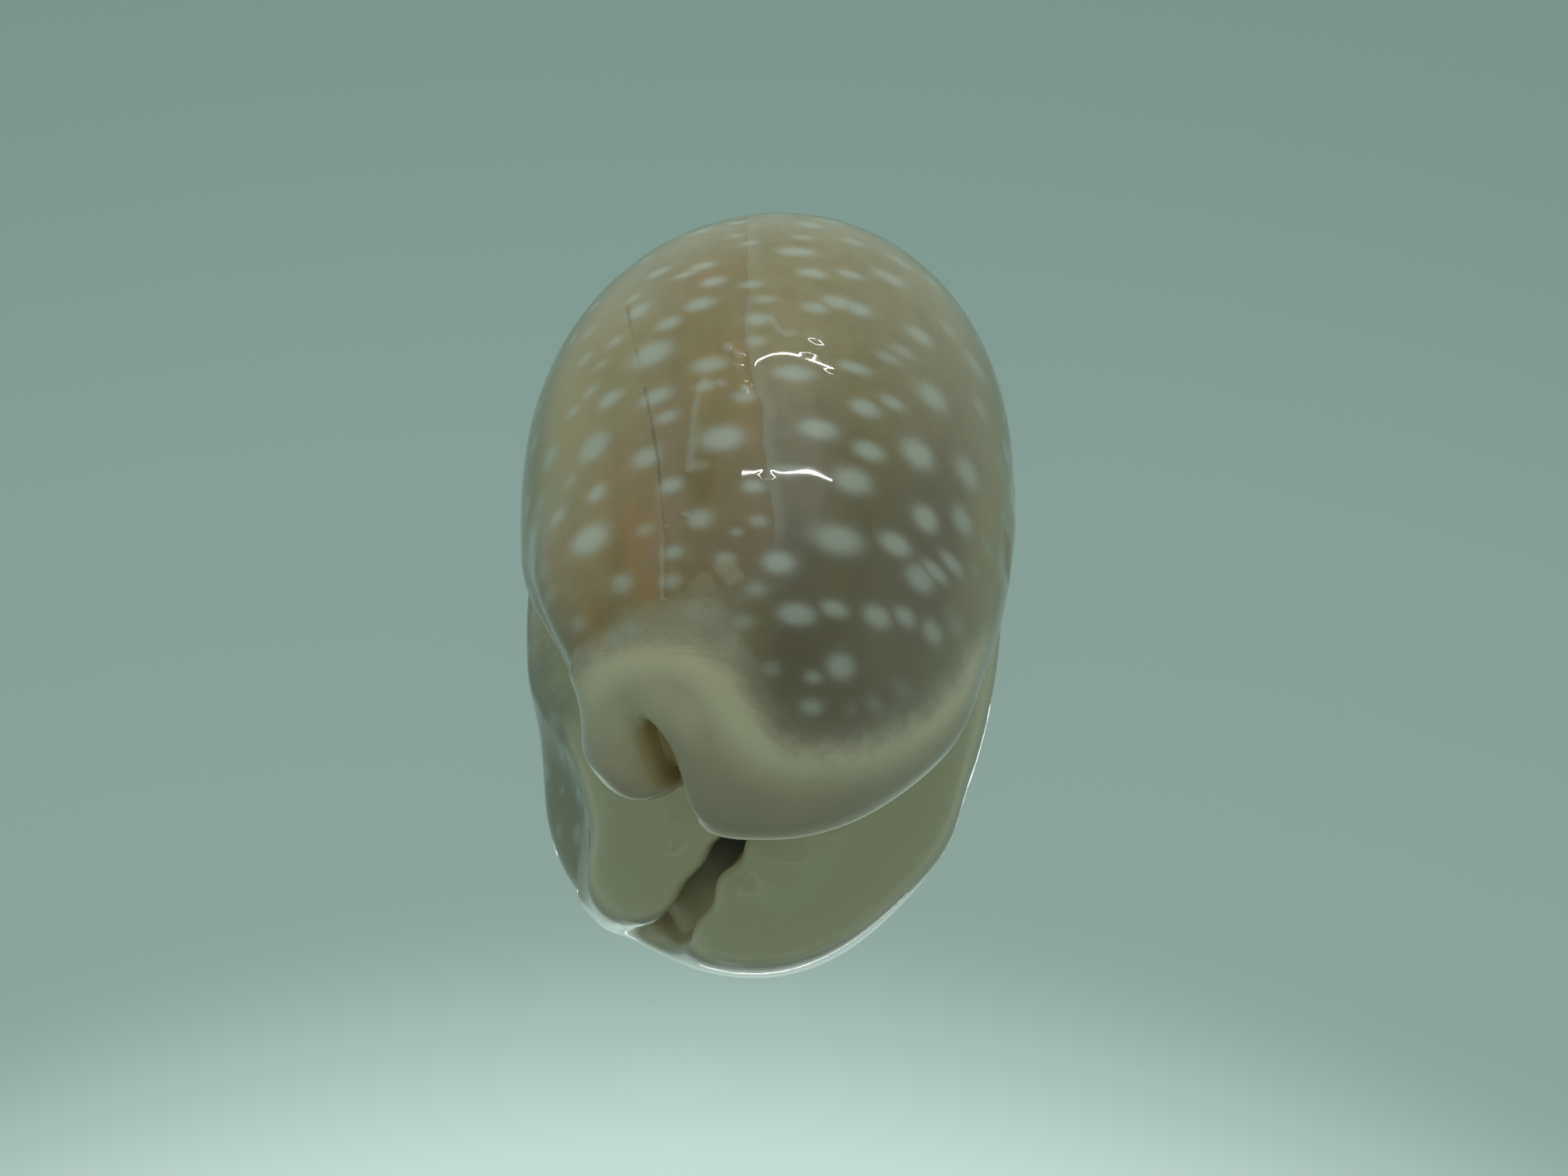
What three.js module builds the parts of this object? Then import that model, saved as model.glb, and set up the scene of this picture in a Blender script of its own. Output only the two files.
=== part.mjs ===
// A camel cowrie shell: one hollow, rolled shell with a toothed slit along its base.
// Millimetres. +X is the outer lip's side, -Y the end with the hooked notch, +Z up.
import * as THREE from 'three';

// Body: an uneven dome, measured from the widest place.
const HALF_WIDTH_LEFT = 19.7;
const HALF_WIDTH_RIGHT = 18.9;
const LENGTH_HOOK_END = 33.1;
const LENGTH_FRONT_END = 21.5;
const WIDEST_HEIGHT = 7.1;
const DOME_HEIGHT = 22.5;
const DOME_DEPTH_BELOW = 12.5;
const PLAN_ROUNDNESS = 2.06;
const SWAY = 0.035;

// Base: a gently arched floor with a small flat spot that the shell rests on.
const BASE_ARCH_ACROSS = 0.015;
const BASE_ARCH_HOOK = 0.009;
const BASE_ARCH_FRONT = 0.007;
const FLAT_SPOT = 0.75;
const MARGIN_ROUNDING = 2.2;

// Swollen rims at both ends, the shoulder above the hook and the bite that makes its neck.
const HOOK_BEAK = { centre: [-6.6, -25, 9], radii: [8.7, 4, 6.9], blend: 4 };
const HOOK_LIP = { centre: [4, -20.4, 8.2], radii: [9, 5.9, 5], blend: 4 };
const HOOK_SHOULDER = { centre: [-9.4, -17.3, 15.6], radii: [9.1, 7.4, 6.2], blend: 6 };
const FRONT_BEAK = { centre: [0.5, 18.9, 8.6], radii: [7.5, 5.6, 6.2], blend: 4 };
const NECK_BITE = { centre: [-22.3, -22, 7.1], radii: [7.3, 8.1, 11], blend: 7 };

// Ends of the slit, on the outside of the body, and the point that all rays start from.
const HEART = new THREE.Vector3(0, -3, 12.5);
const HOOK_NOTCH = new THREE.Vector3(-11, -24.2, 20.1);
const FRONT_NOTCH = new THREE.Vector3(0.4, 24.2, 13.5);
const REACH = new THREE.Vector3(18.4, 29, 19);
const TURN_IN_POWER = 1.5;

// Slit between the lips.
const SLIT_HALF_WIDTH = 1.35;
const SLIT_SWING = 0.32;
const SLIT_SWING_AT = THREE.MathUtils.degToRad(-40);
const SLIT_SWING_SPREAD = THREE.MathUtils.degToRad(14);
const NOTCH_RADIUS = 1.7;
const NOTCH_TAPER = 9;
const MM_PER_RADIAN = 20;

// Lips: how far each one rolls over (roll) and how deep the roll goes (drop).
const LIP_TOP_HOOK = { roll: 3.8, drop: 3 };
const LIP_TOP_FRONT = { roll: 1.3, drop: 1.4 };
const LIP_LEFT_HOOK = { roll: 5.2, drop: 3.4 };
const LIP_LEFT = { roll: 2.8, drop: 2.6 };
const LIP_RIGHT_HOOK = { roll: 3.2, drop: 1.5 };
const LIP_RIGHT = { roll: 1.3, drop: 1.3 };
const LIP_LEFT_FRONT = { roll: 1.6, drop: 1.6 };
const LIP_WALL = 1.8;
const LIP_WALL_HOOK = 0.7;
const HOOK_SPAN = 14;
const FRONT_SPAN = 12;

// Teeth along both lips.
const TEETH = 24;
const STEPS_PER_TOOTH = 4;
const TOOTH_RIGHT = 0.75;
const TOOTH_LEFT = 0.4;
const TOOTH_FADE = 6;

// Hollow inside: wall thicknesses and where the canals open into it.
const WALL = 1.7;
const WALL_END = 2.2;
const WALL_BASE = 1.6;
const CANAL_FLOOR = 1.6;
const CANAL_FLOOR_HOOK = 0.4;
const CANAL_LENGTH = 6;
const CANAL_LENGTH_HOOK = 9;
const HOLLOW_OPENS_OVER = 9;
const HOLLOW_OPENS_POWER = 1.6;
const HOLLOW_EDGE = 2.6;

// How finely the surface is divided.
const OVER_STEPS = 54;
const ROLL_STEPS = 3;
const INSIDE_STEPS = 9;
const NOTCH_ANGLES = [0, 22, 45, 68, 90].map(THREE.MathUtils.degToRad);
const CAST_STEPS = 34;
const CAST_FAR = 2;

const SHELL_COLOUR = 0x8d8166;

const { smoothstep, lerp, clamp } = THREE.MathUtils;

function smoothMin(a, b, blend) {
  const h = clamp(0.5 + (0.5 * (b - a)) / blend, 0, 1);
  return lerp(b, a, h) - blend * h * (1 - h);
}

function smoothMax(a, b, blend) {
  return -smoothMin(-a, -b, blend);
}

// Each field is roughly a distance: negative inside, positive outside.
function ellipsoidField(point, { centre, radii }) {
  const dx = point.x - centre[0];
  const dy = point.y - centre[1];
  const dz = point.z - centre[2];
  const scaled = Math.hypot(dx / radii[0], dy / radii[1], dz / radii[2]);
  return Math.hypot(dx, dy, dz) * (1 - 1 / Math.max(scaled, 1e-6));
}

function domeField(point) {
  const x = point.x - SWAY * point.y;
  const { y } = point;
  const z = point.z - WIDEST_HEIGHT;
  const across = Math.abs(x / (x < 0 ? HALF_WIDTH_LEFT : HALF_WIDTH_RIGHT));
  const along = Math.abs(y / (y < 0 ? LENGTH_HOOK_END : LENGTH_FRONT_END));
  const up = z / (z > 0 ? DOME_HEIGHT : DOME_DEPTH_BELOW);
  const plan = (across ** PLAN_ROUNDNESS + along ** PLAN_ROUNDNESS) ** (2 / PLAN_ROUNDNESS);
  const scaled = Math.sqrt(plan + up * up);
  return Math.hypot(point.x, y, z) * (1 - 1 / Math.max(scaled, 1e-6));
}

function baseField(point) {
  const archAlong = point.y < 0 ? BASE_ARCH_HOOK : BASE_ARCH_FRONT;
  const arch = BASE_ARCH_ACROSS * point.x ** 2 + archAlong * point.y ** 2 - FLAT_SPOT;
  return Math.max(arch, 0) - point.z;
}

function outsideField(point) {
  let field = domeField(point);
  for (const swelling of [HOOK_BEAK, HOOK_LIP, HOOK_SHOULDER, FRONT_BEAK]) {
    field = smoothMin(field, ellipsoidField(point, swelling), swelling.blend);
  }
  field = smoothMax(field, -ellipsoidField(point, NECK_BITE), NECK_BITE.blend);
  return smoothMax(field, baseField(point), MARGIN_ROUNDING);
}

// A ball of directions around the heart has its poles at the two notches. Away from the
// poles it turns back in line with the body, so that its middle sections stand upright.
function turnToNotch(notch, rest) {
  const aim = notch.clone().sub(HEART).divide(REACH).normalize();
  return { axis: new THREE.Vector3().crossVectors(rest, aim).normalize(), angle: rest.angleTo(aim) };
}

const HOOK_TURN = turnToNotch(HOOK_NOTCH, new THREE.Vector3(0, -1, 0));
const FRONT_TURN = turnToNotch(FRONT_NOTCH, new THREE.Vector3(0, 1, 0));

function worldDirection(ball) {
  const latitude = Math.asin(clamp(ball.y, -1, 1)) / (Math.PI / 2);
  const turn = latitude < 0 ? HOOK_TURN : FRONT_TURN;
  const angle = turn.angle * Math.abs(latitude) ** TURN_IN_POWER;
  return ball.clone().applyAxisAngle(turn.axis, angle).multiply(REACH);
}

// The point on the outside in a direction, moved inwards by depth.
function surfacePoint(ball, depth = 0) {
  const ray = worldDirection(ball);
  let near = 0.1;
  let far = CAST_FAR;
  const probe = new THREE.Vector3();
  for (let step = 0; step < CAST_STEPS; step += 1) {
    const middle = (near + far) / 2;
    probe.copy(HEART).addScaledVector(ray, middle);
    if (outsideField(probe) < 0) {
      near = middle;
    } else {
      far = middle;
    }
  }
  const length = ray.length();
  return HEART.clone().addScaledVector(ray, near - depth / length);
}

// The middle line of the slit runs from notch to notch: along is 0 at the hooked end and PI
// at the front end, and sideways is an angle across it towards the outer lip.
function slitDirection(along, sideways) {
  const latitude = along - Math.PI / 2;
  const swing = SLIT_SWING * Math.exp(-(((latitude - SLIT_SWING_AT) / SLIT_SWING_SPREAD) ** 2));
  const across = new THREE.Vector3(Math.cos(swing), 0, Math.sin(swing));
  const middle = new THREE.Vector3(
    Math.cos(latitude) * Math.sin(swing),
    Math.sin(latitude),
    -Math.cos(latitude) * Math.cos(swing),
  );
  return middle.multiplyScalar(Math.cos(sideways)).addScaledVector(across, Math.sin(sideways));
}

function mixLip(from, to, share) {
  return { roll: lerp(from.roll, to.roll, share), drop: lerp(from.drop, to.drop, share) };
}

// A lip's roll and drop at a station. fromTop is 0 at the top of a notch and 1 beside the slit.
function lipShape(station, side) {
  const fromTop = Math.sin(station.angle) ** 2;
  const fromHook = station.along * MM_PER_RADIAN;
  const fromFront = Math.PI * MM_PER_RADIAN - fromHook;
  const hook = side > 0 ? LIP_RIGHT_HOOK : LIP_LEFT_HOOK;
  const body = side > 0 ? LIP_RIGHT : LIP_LEFT;
  const front = side > 0 ? LIP_RIGHT : LIP_LEFT_FRONT;
  const nearHook = mixLip(hook, body, smoothstep(fromHook, 0, HOOK_SPAN));
  const beside = mixLip(front, nearHook, smoothstep(fromFront, 0, FRONT_SPAN));
  return mixLip(station.end > 0 ? LIP_TOP_FRONT : LIP_TOP_HOOK, beside, fromTop);
}

// Stations along the slit. Each end has an arc around its notch; between them they keep time
// with the teeth. A station tells how to place a point beside the slit.
function makeStations() {
  const stations = [];
  const hookAt = (NOTCH_RADIUS + LIP_TOP_HOOK.roll) / MM_PER_RADIAN;
  const frontAt = Math.PI - (NOTCH_RADIUS + LIP_TOP_FRONT.roll) / MM_PER_RADIAN;
  const hookArc = NOTCH_ANGLES.map((angle) => ({ along: hookAt, angle, end: -1, tooth: 0 }));
  const frontArc = NOTCH_ANGLES.map((angle) => ({ along: frontAt, angle, end: 1, tooth: 0 }));
  stations.push(...hookArc);
  const count = TEETH * STEPS_PER_TOOTH;
  for (let step = 1; step < count; step += 1) {
    const along = lerp(hookAt, frontAt, step / count);
    const phase = (step / STEPS_PER_TOOTH) * 2 * Math.PI;
    stations.push({ along, angle: Math.PI / 2, end: 0, tooth: 0.5 - 0.5 * Math.cos(phase) });
  }
  stations.push(...frontArc.reverse());
  return stations;
}

// Direction of a point beside the slit, offset millimetres outwards from the slit's edge.
function besideSlit(station, side, offset) {
  const { along, angle, end } = station;
  const fromEnd = Math.min(along, Math.PI - along) * MM_PER_RADIAN - NOTCH_RADIUS;
  const half = lerp(NOTCH_RADIUS, SLIT_HALF_WIDTH, smoothstep(fromEnd, 0, NOTCH_TAPER));
  const reach = (half + offset) / MM_PER_RADIAN;
  return slitDirection(along + end * reach * Math.cos(angle), side * reach * Math.sin(angle));
}

// 0 in the shallow canal at the hooked end, rising to 1 along the rest of the slit.
function pastHook(along) {
  return smoothstep(along * MM_PER_RADIAN, HOOK_SPAN, 2 * HOOK_SPAN);
}

// One side's lip, from the outside surface down its roll to the foot of its wall.
function lipPoints(station, side) {
  const { along, tooth } = station;
  const { roll, drop } = lipShape(station, side);
  const fromEnd = Math.min(along, Math.PI - along) * MM_PER_RADIAN;
  const fade = smoothstep(fromEnd, TOOTH_FADE, 2 * TOOTH_FADE);
  const toothDepth = (side > 0 ? TOOTH_RIGHT : TOOTH_LEFT) * tooth * fade;
  const points = [];
  for (let step = 0; step <= ROLL_STEPS; step += 1) {
    const bend = ((step / ROLL_STEPS) * Math.PI) / 2;
    const offset = roll * (1 - Math.sin(bend)) - toothDepth * Math.sin(bend) ** 2;
    points.push(surfacePoint(besideSlit(station, side, offset), drop * (1 - Math.cos(bend))));
  }
  const wall = lerp(LIP_WALL_HOOK, LIP_WALL, pastHook(along));
  points.push(surfacePoint(besideSlit(station, side, 0), drop + wall));
  return points;
}

// Angles of a direction around the line between the notches.
function polar(ball) {
  return { latitude: Math.asin(clamp(ball.y, -1, 1)), turn: Math.atan2(ball.x, -ball.z) };
}

function fromPolar(latitude, turn) {
  const ring = Math.cos(latitude);
  return new THREE.Vector3(ring * Math.sin(turn), Math.sin(latitude), -ring * Math.cos(turn));
}

// Directions over the back of the shell, from the right lip round to the left lip.
function overDirections(right, left, count) {
  const from = polar(right);
  const to = polar(left);
  const turnTo = to.turn + 2 * Math.PI;
  const directions = [];
  for (let step = 1; step < count; step += 1) {
    const even = step / count;
    const share = even - 0.06 * Math.sin(2 * Math.PI * even);
    directions.push(fromPolar(lerp(from.latitude, to.latitude, share), lerp(from.turn, turnTo, share)));
  }
  return directions;
}

function hollowPoint(ball) {
  const towardsEnd = Math.abs(ball.y) ** 4;
  const towardsBase = smoothstep(-ball.z, 0.2, 0.95);
  return surfacePoint(ball, WALL + WALL_END * towardsEnd + WALL_BASE * towardsBase);
}

// The inside of a section: a groove near the notches that opens into the hollow.
function insidePoints(station, rightFoot, leftFoot) {
  const distance = Math.min(station.along, Math.PI - station.along) * MM_PER_RADIAN;
  const length = station.along < Math.PI / 2 ? CANAL_LENGTH_HOOK : CANAL_LENGTH;
  const opened = smoothstep(distance, length, length + HOLLOW_OPENS_OVER);
  const open = opened ** HOLLOW_OPENS_POWER;
  const edge = HOLLOW_EDGE * Math.sin(station.angle);
  const floor = lerp(CANAL_FLOOR_HOOK, CANAL_FLOOR, pastHook(station.along));
  const right = besideSlit(station, 1, edge);
  const left = besideSlit(station, -1, edge);
  const around = [right, ...overDirections(right, left, INSIDE_STEPS - 1), left];
  return around.map((ball, index) => {
    const share = (index + 1) / (INSIDE_STEPS + 1);
    const groove = rightFoot.clone().lerp(leftFoot, (1 - Math.cos(Math.PI * share)) / 2);
    const inwards = HEART.clone().sub(groove).normalize();
    groove.addScaledVector(inwards, floor * Math.sin(Math.PI * share) * Math.sin(station.angle));
    return open > 0 ? groove.lerp(hollowPoint(ball), open) : groove;
  });
}

// One closed loop of points: over the back, down the left lip, through the inside, up the right lip.
function sectionLoop(station) {
  const right = lipPoints(station, 1);
  const left = lipPoints(station, -1);
  const rightEdge = besideSlit(station, 1, lipShape(station, 1).roll);
  const leftEdge = besideSlit(station, -1, lipShape(station, -1).roll);
  const over = overDirections(rightEdge, leftEdge, OVER_STEPS).map((ball) => surfacePoint(ball));
  const inside = insidePoints(station, right.at(-1), left.at(-1));
  return [right[0], ...over, ...left, ...inside.reverse(), ...right.slice(1).reverse()];
}

// At a notch the loop closes up: both lips share their points, and so does the groove.
function closedUpIndices(loopSize, firstIndex) {
  const lipSize = ROLL_STEPS + 2;
  const leftStart = OVER_STEPS;
  return Array.from({ length: loopSize }, (unused, place) => {
    if (place <= leftStart) return firstIndex;
    const step = place < leftStart + lipSize ? place - leftStart : loopSize - place;
    return firstIndex + Math.min(step, lipSize - 1);
  });
}

// Only the lips and the notches need every station. Between the notches, the back and the
// inside keep every second one.
function isFine(place, row, loopSize, rowCount) {
  const arc = NOTCH_ANGLES.length;
  const leftLipEnd = OVER_STEPS + ROLL_STEPS + 1;
  const rightLipStart = loopSize - ROLL_STEPS - 1;
  const atLip = place === 0 || (place >= OVER_STEPS && place <= leftLipEnd) || place >= rightLipStart;
  return atLip || row < arc || row >= rowCount - arc;
}

function shellGeometry() {
  const loops = makeStations().map(sectionLoop);
  const loopSize = loops[0].length;
  const fine = (place, row) => isFine(place, row, loopSize, loops.length);
  const lipSize = ROLL_STEPS + 2;
  const positions = [];
  const indices = loops.map((loop, row) => {
    const first = positions.length / 3;
    if (row === 0 || row === loops.length - 1) {
      const column = loop.slice(OVER_STEPS, OVER_STEPS + lipSize);
      column.forEach((point) => positions.push(...point));
      return closedUpIndices(loopSize, first);
    }
    return loop.map((point, place) => {
      if (row % 2 === 1 && !fine(place, row)) return null;
      positions.push(...point);
      return positions.length / 3 - 1;
    });
  });
  const faces = [];
  const addFace = (a, b, c) => {
    if (a !== b && b !== c && a !== c) faces.push(a, b, c);
  };
  const offSurface = (from, to) => {
    const end = new THREE.Vector3().fromArray(positions, 3 * to);
    return Math.abs(outsideField(new THREE.Vector3().fromArray(positions, 3 * from).lerp(end, 0.5)));
  };
  // Over the back, each strip is cut along the diagonal that lies closer to the true surface.
  const addStrip = (place, rowStep, row) => {
    const next = (place + 1) % loopSize;
    const [a, b] = [indices[row][place], indices[row][next]];
    const [c, d] = [indices[row + rowStep][next], indices[row + rowStep][place]];
    if (place < OVER_STEPS && offSurface(a, c) < offSurface(b, d)) {
      addFace(a, d, c);
      addFace(a, c, b);
    } else {
      addFace(a, d, b);
      addFace(b, d, c);
    }
  };
  for (let row = 0; row + 2 < indices.length; row += 2) {
    for (let place = 0; place < loopSize; place += 1) {
      const next = (place + 1) % loopSize;
      const fineHere = fine(place, row + 1);
      const fineNext = fine(next, row + 1);
      if (fineHere && fineNext) {
        addStrip(place, 1, row);
        addStrip(place, 1, row + 1);
      } else if (!fineHere && !fineNext) {
        addStrip(place, 2, row);
      } else {
        const [a, b] = [indices[row][place], indices[row][next]];
        const [c, d] = [indices[row + 2][next], indices[row + 2][place]];
        const between = indices[row + 1][fineHere ? place : next];
        addFace(a, between, b);
        addFace(d, c, between);
        addFace(...(fineHere ? [b, between, c] : [a, d, between]));
      }
    }
  }
  const geometry = new THREE.BufferGeometry();
  geometry.setAttribute('position', new THREE.Float32BufferAttribute(positions, 3));
  geometry.setIndex(faces);
  geometry.computeVertexNormals();
  return geometry;
}

const shell = new THREE.Mesh(
  shellGeometry(),
  new THREE.MeshStandardMaterial({ color: SHELL_COLOUR, roughness: 0.2, metalness: 0 }),
);
shell.name = 'cowrie_shell';

// The origin sits under the middle of the shell, on the surface that it rests on.
const box = new THREE.Box3().setFromObject(shell);
const middle = box.getCenter(new THREE.Vector3());
shell.position.set(-middle.x, -middle.y, -box.min.z);

const cowrie = new THREE.Group();
cowrie.add(shell);

export default cowrie;
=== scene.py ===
import math

import bpy
import numpy as np
from bpy.props import FloatProperty, FloatVectorProperty, IntProperty, PointerProperty
from mathutils import Matrix, Vector
from mathutils.bvhtree import BVHTree


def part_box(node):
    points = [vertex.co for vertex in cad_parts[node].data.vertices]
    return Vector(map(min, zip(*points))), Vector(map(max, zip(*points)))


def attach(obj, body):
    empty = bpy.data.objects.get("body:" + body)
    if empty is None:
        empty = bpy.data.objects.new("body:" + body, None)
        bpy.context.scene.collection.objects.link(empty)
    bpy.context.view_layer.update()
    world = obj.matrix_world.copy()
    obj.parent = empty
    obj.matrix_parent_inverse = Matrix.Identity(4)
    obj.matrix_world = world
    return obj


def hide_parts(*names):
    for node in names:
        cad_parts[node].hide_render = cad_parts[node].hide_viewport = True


bl_info = {
    "name": "Camel Cowrie",
    "version": (1, 0, 0),
    "blender": (4, 5, 0),
    "location": "View3D > Sidebar > Cowrie",
    "description": "Models a glossy camel cowrie shell on a polished pale floor",
    "category": "Add Mesh",
}

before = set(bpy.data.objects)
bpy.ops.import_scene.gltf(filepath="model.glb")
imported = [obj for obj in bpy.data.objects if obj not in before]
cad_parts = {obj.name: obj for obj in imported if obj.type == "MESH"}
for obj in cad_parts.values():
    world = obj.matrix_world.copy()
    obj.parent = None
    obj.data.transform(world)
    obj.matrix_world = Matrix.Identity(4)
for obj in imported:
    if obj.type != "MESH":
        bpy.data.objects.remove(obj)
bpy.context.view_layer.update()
SHELL_NODE = "cowrie_shell"
MM = 0.001

# Form of the body, in millimetres: an uneven dome measured from its widest place.
HALF_WIDTH_LEFT = 19.7
HALF_WIDTH_RIGHT = 18.9
LENGTH_HOOK_END = 33.1
LENGTH_FRONT_END = 21.5
WIDEST_HEIGHT = 7.1
DOME_HEIGHT = 22.5
DOME_DEPTH_BELOW = 12.5
PLAN_ROUNDNESS = 2.06
SWAY = 0.035

# Base: a gently arched floor with a small flat spot.
BASE_ARCH_ACROSS = 0.015
BASE_ARCH_HOOK = 0.009
BASE_ARCH_FRONT = 0.007
FLAT_SPOT = 0.75
MARGIN_ROUNDING = 2.2

# Swollen rims at both ends and the shoulder above the hook, each with its centre, radii and
# blend, and the bite that makes the hook's neck.
HOOK_BEAK = ((-6.6, -25.0, 9.0), (8.7, 4.0, 6.9), 4.0)
HOOK_LIP = ((4.0, -20.4, 8.2), (9.0, 5.9, 5.0), 4.0)
HOOK_SHOULDER = ((-9.4, -17.3, 15.6), (9.1, 7.4, 6.2), 6.0)
FRONT_BEAK = ((0.5, 18.9, 8.6), (7.5, 5.6, 6.2), 4.0)
NECK_BITE = ((-22.3, -22.0, 7.1), (7.3, 8.1, 11.0), 7.0)

# Ends of the slit on the outside of the body, and the point that all rays start from.
HEART = np.array((0.0, -3.0, 12.5))
HOOK_NOTCH = np.array((-11.0, -24.2, 20.1))
FRONT_NOTCH = np.array((0.4, 24.2, 13.5))
REACH = np.array((18.4, 29.0, 19.0))
TURN_IN_POWER = 1.5

# Slit between the lips.
SLIT_HALF_WIDTH = 1.35
SLIT_SWING = 0.32
SLIT_SWING_AT = math.radians(-40)
SLIT_SWING_SPREAD = math.radians(14)
NOTCH_RADIUS = 1.7
NOTCH_TAPER = 9.0
MM_PER_RADIAN = 20.0

# Lips: how far each one rolls over, and how deep the roll goes.
LIP_TOP_HOOK = (3.8, 3.0)
LIP_TOP_FRONT = (1.3, 1.4)
LIP_HOOK = {1: (3.2, 1.5), -1: (5.2, 3.4)}
LIP_BODY = {1: (1.3, 1.3), -1: (2.8, 2.6)}
LIP_FRONT = {1: (1.3, 1.3), -1: (1.6, 1.6)}
LIP_WALL = 1.8
LIP_WALL_HOOK = 0.7
HOOK_SPAN = 14.0
FRONT_SPAN = 12.0

# Teeth along both lips, and how far each one runs out over the base.
TOOTH_DEPTH = {1: 0.75, -1: 0.4}
TOOTH_FADE = 6.0
TOOTH_RIDGE_HEIGHT = 0.16
TOOTH_RIDGE_RUN = {1: 3.2, -1: 2.2}

# Hollow inside.
WALL = 1.7
WALL_END = 2.2
WALL_BASE = 1.6
CANAL_FLOOR = 1.6
CANAL_FLOOR_HOOK = 0.4
CANAL_LENGTH = 6.0
CANAL_LENGTH_HOOK = 9.0
HOLLOW_OPENS_OVER = 9.0
HOLLOW_OPENS_POWER = 1.6
HOLLOW_EDGE = 2.6
HOLLOW_END_POWER = 4

# Mesh: its steps round a notch, down a lip and through the hollow, and the halvings of each
# ray. The columns of the back lie closer together beside its middle.
ARC_STEPS = 12
ROLL_STEPS = 12
INSIDE_STEPS = 22
CAST_STEPS = 34
CAST_NEAR = 0.1
CAST_FAR = 2.0
COLUMN_SWAY = 0.06
FINE = np.linspace(0, 1, 401)
FINE_AT = 0.57
FINE_SPREAD = 0.075
FINE_MORE = 1.5
FINE_FROM = 100

# The camera that took the picture, in millimetres and degrees, and its picture in pixels.
PICTURE_WIDTH = 2016
PICTURE_HEIGHT = 1512
FOCAL_PIXELS = 4444.5
CAMERA_ELEVATION = 55.31
CAMERA_AZIMUTH = -2.64
CAMERA_DISTANCE = 272.8
CAMERA_ROLL = 2.92
CAMERA_TARGET = np.array((1.40, -2.18, 3.03))
SENSOR_WIDTH = 36.0
CLIP_START = 0.01

# Stage: the floor and the lights, in metres. A hair's breadth between the flat spot and the
# floor keeps the two faces from coinciding. Each light is two ends of a line and a thickness.
FLOOR_GAP = 0.02 * MM
FLOOR_HALF_SIZE = 1.5
FLOOR_ROUGHNESS = 0.03
LIGHT_TARGET = (0.0, 0.0, 0.015)
SOFT_LIGHT = ((-0.22, 0.36, 0.36), (0.18, 0.4, 0.36), 0.3)
STRIPS = {
    "strip_near": ((-0.11, 0.025, 0.5), (0.285, 0.025, 0.5), 0.0028),
    "strip_far": ((-0.11, 0.243, 0.5), (0.285, 0.285, 0.5), 0.0028),
}

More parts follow.
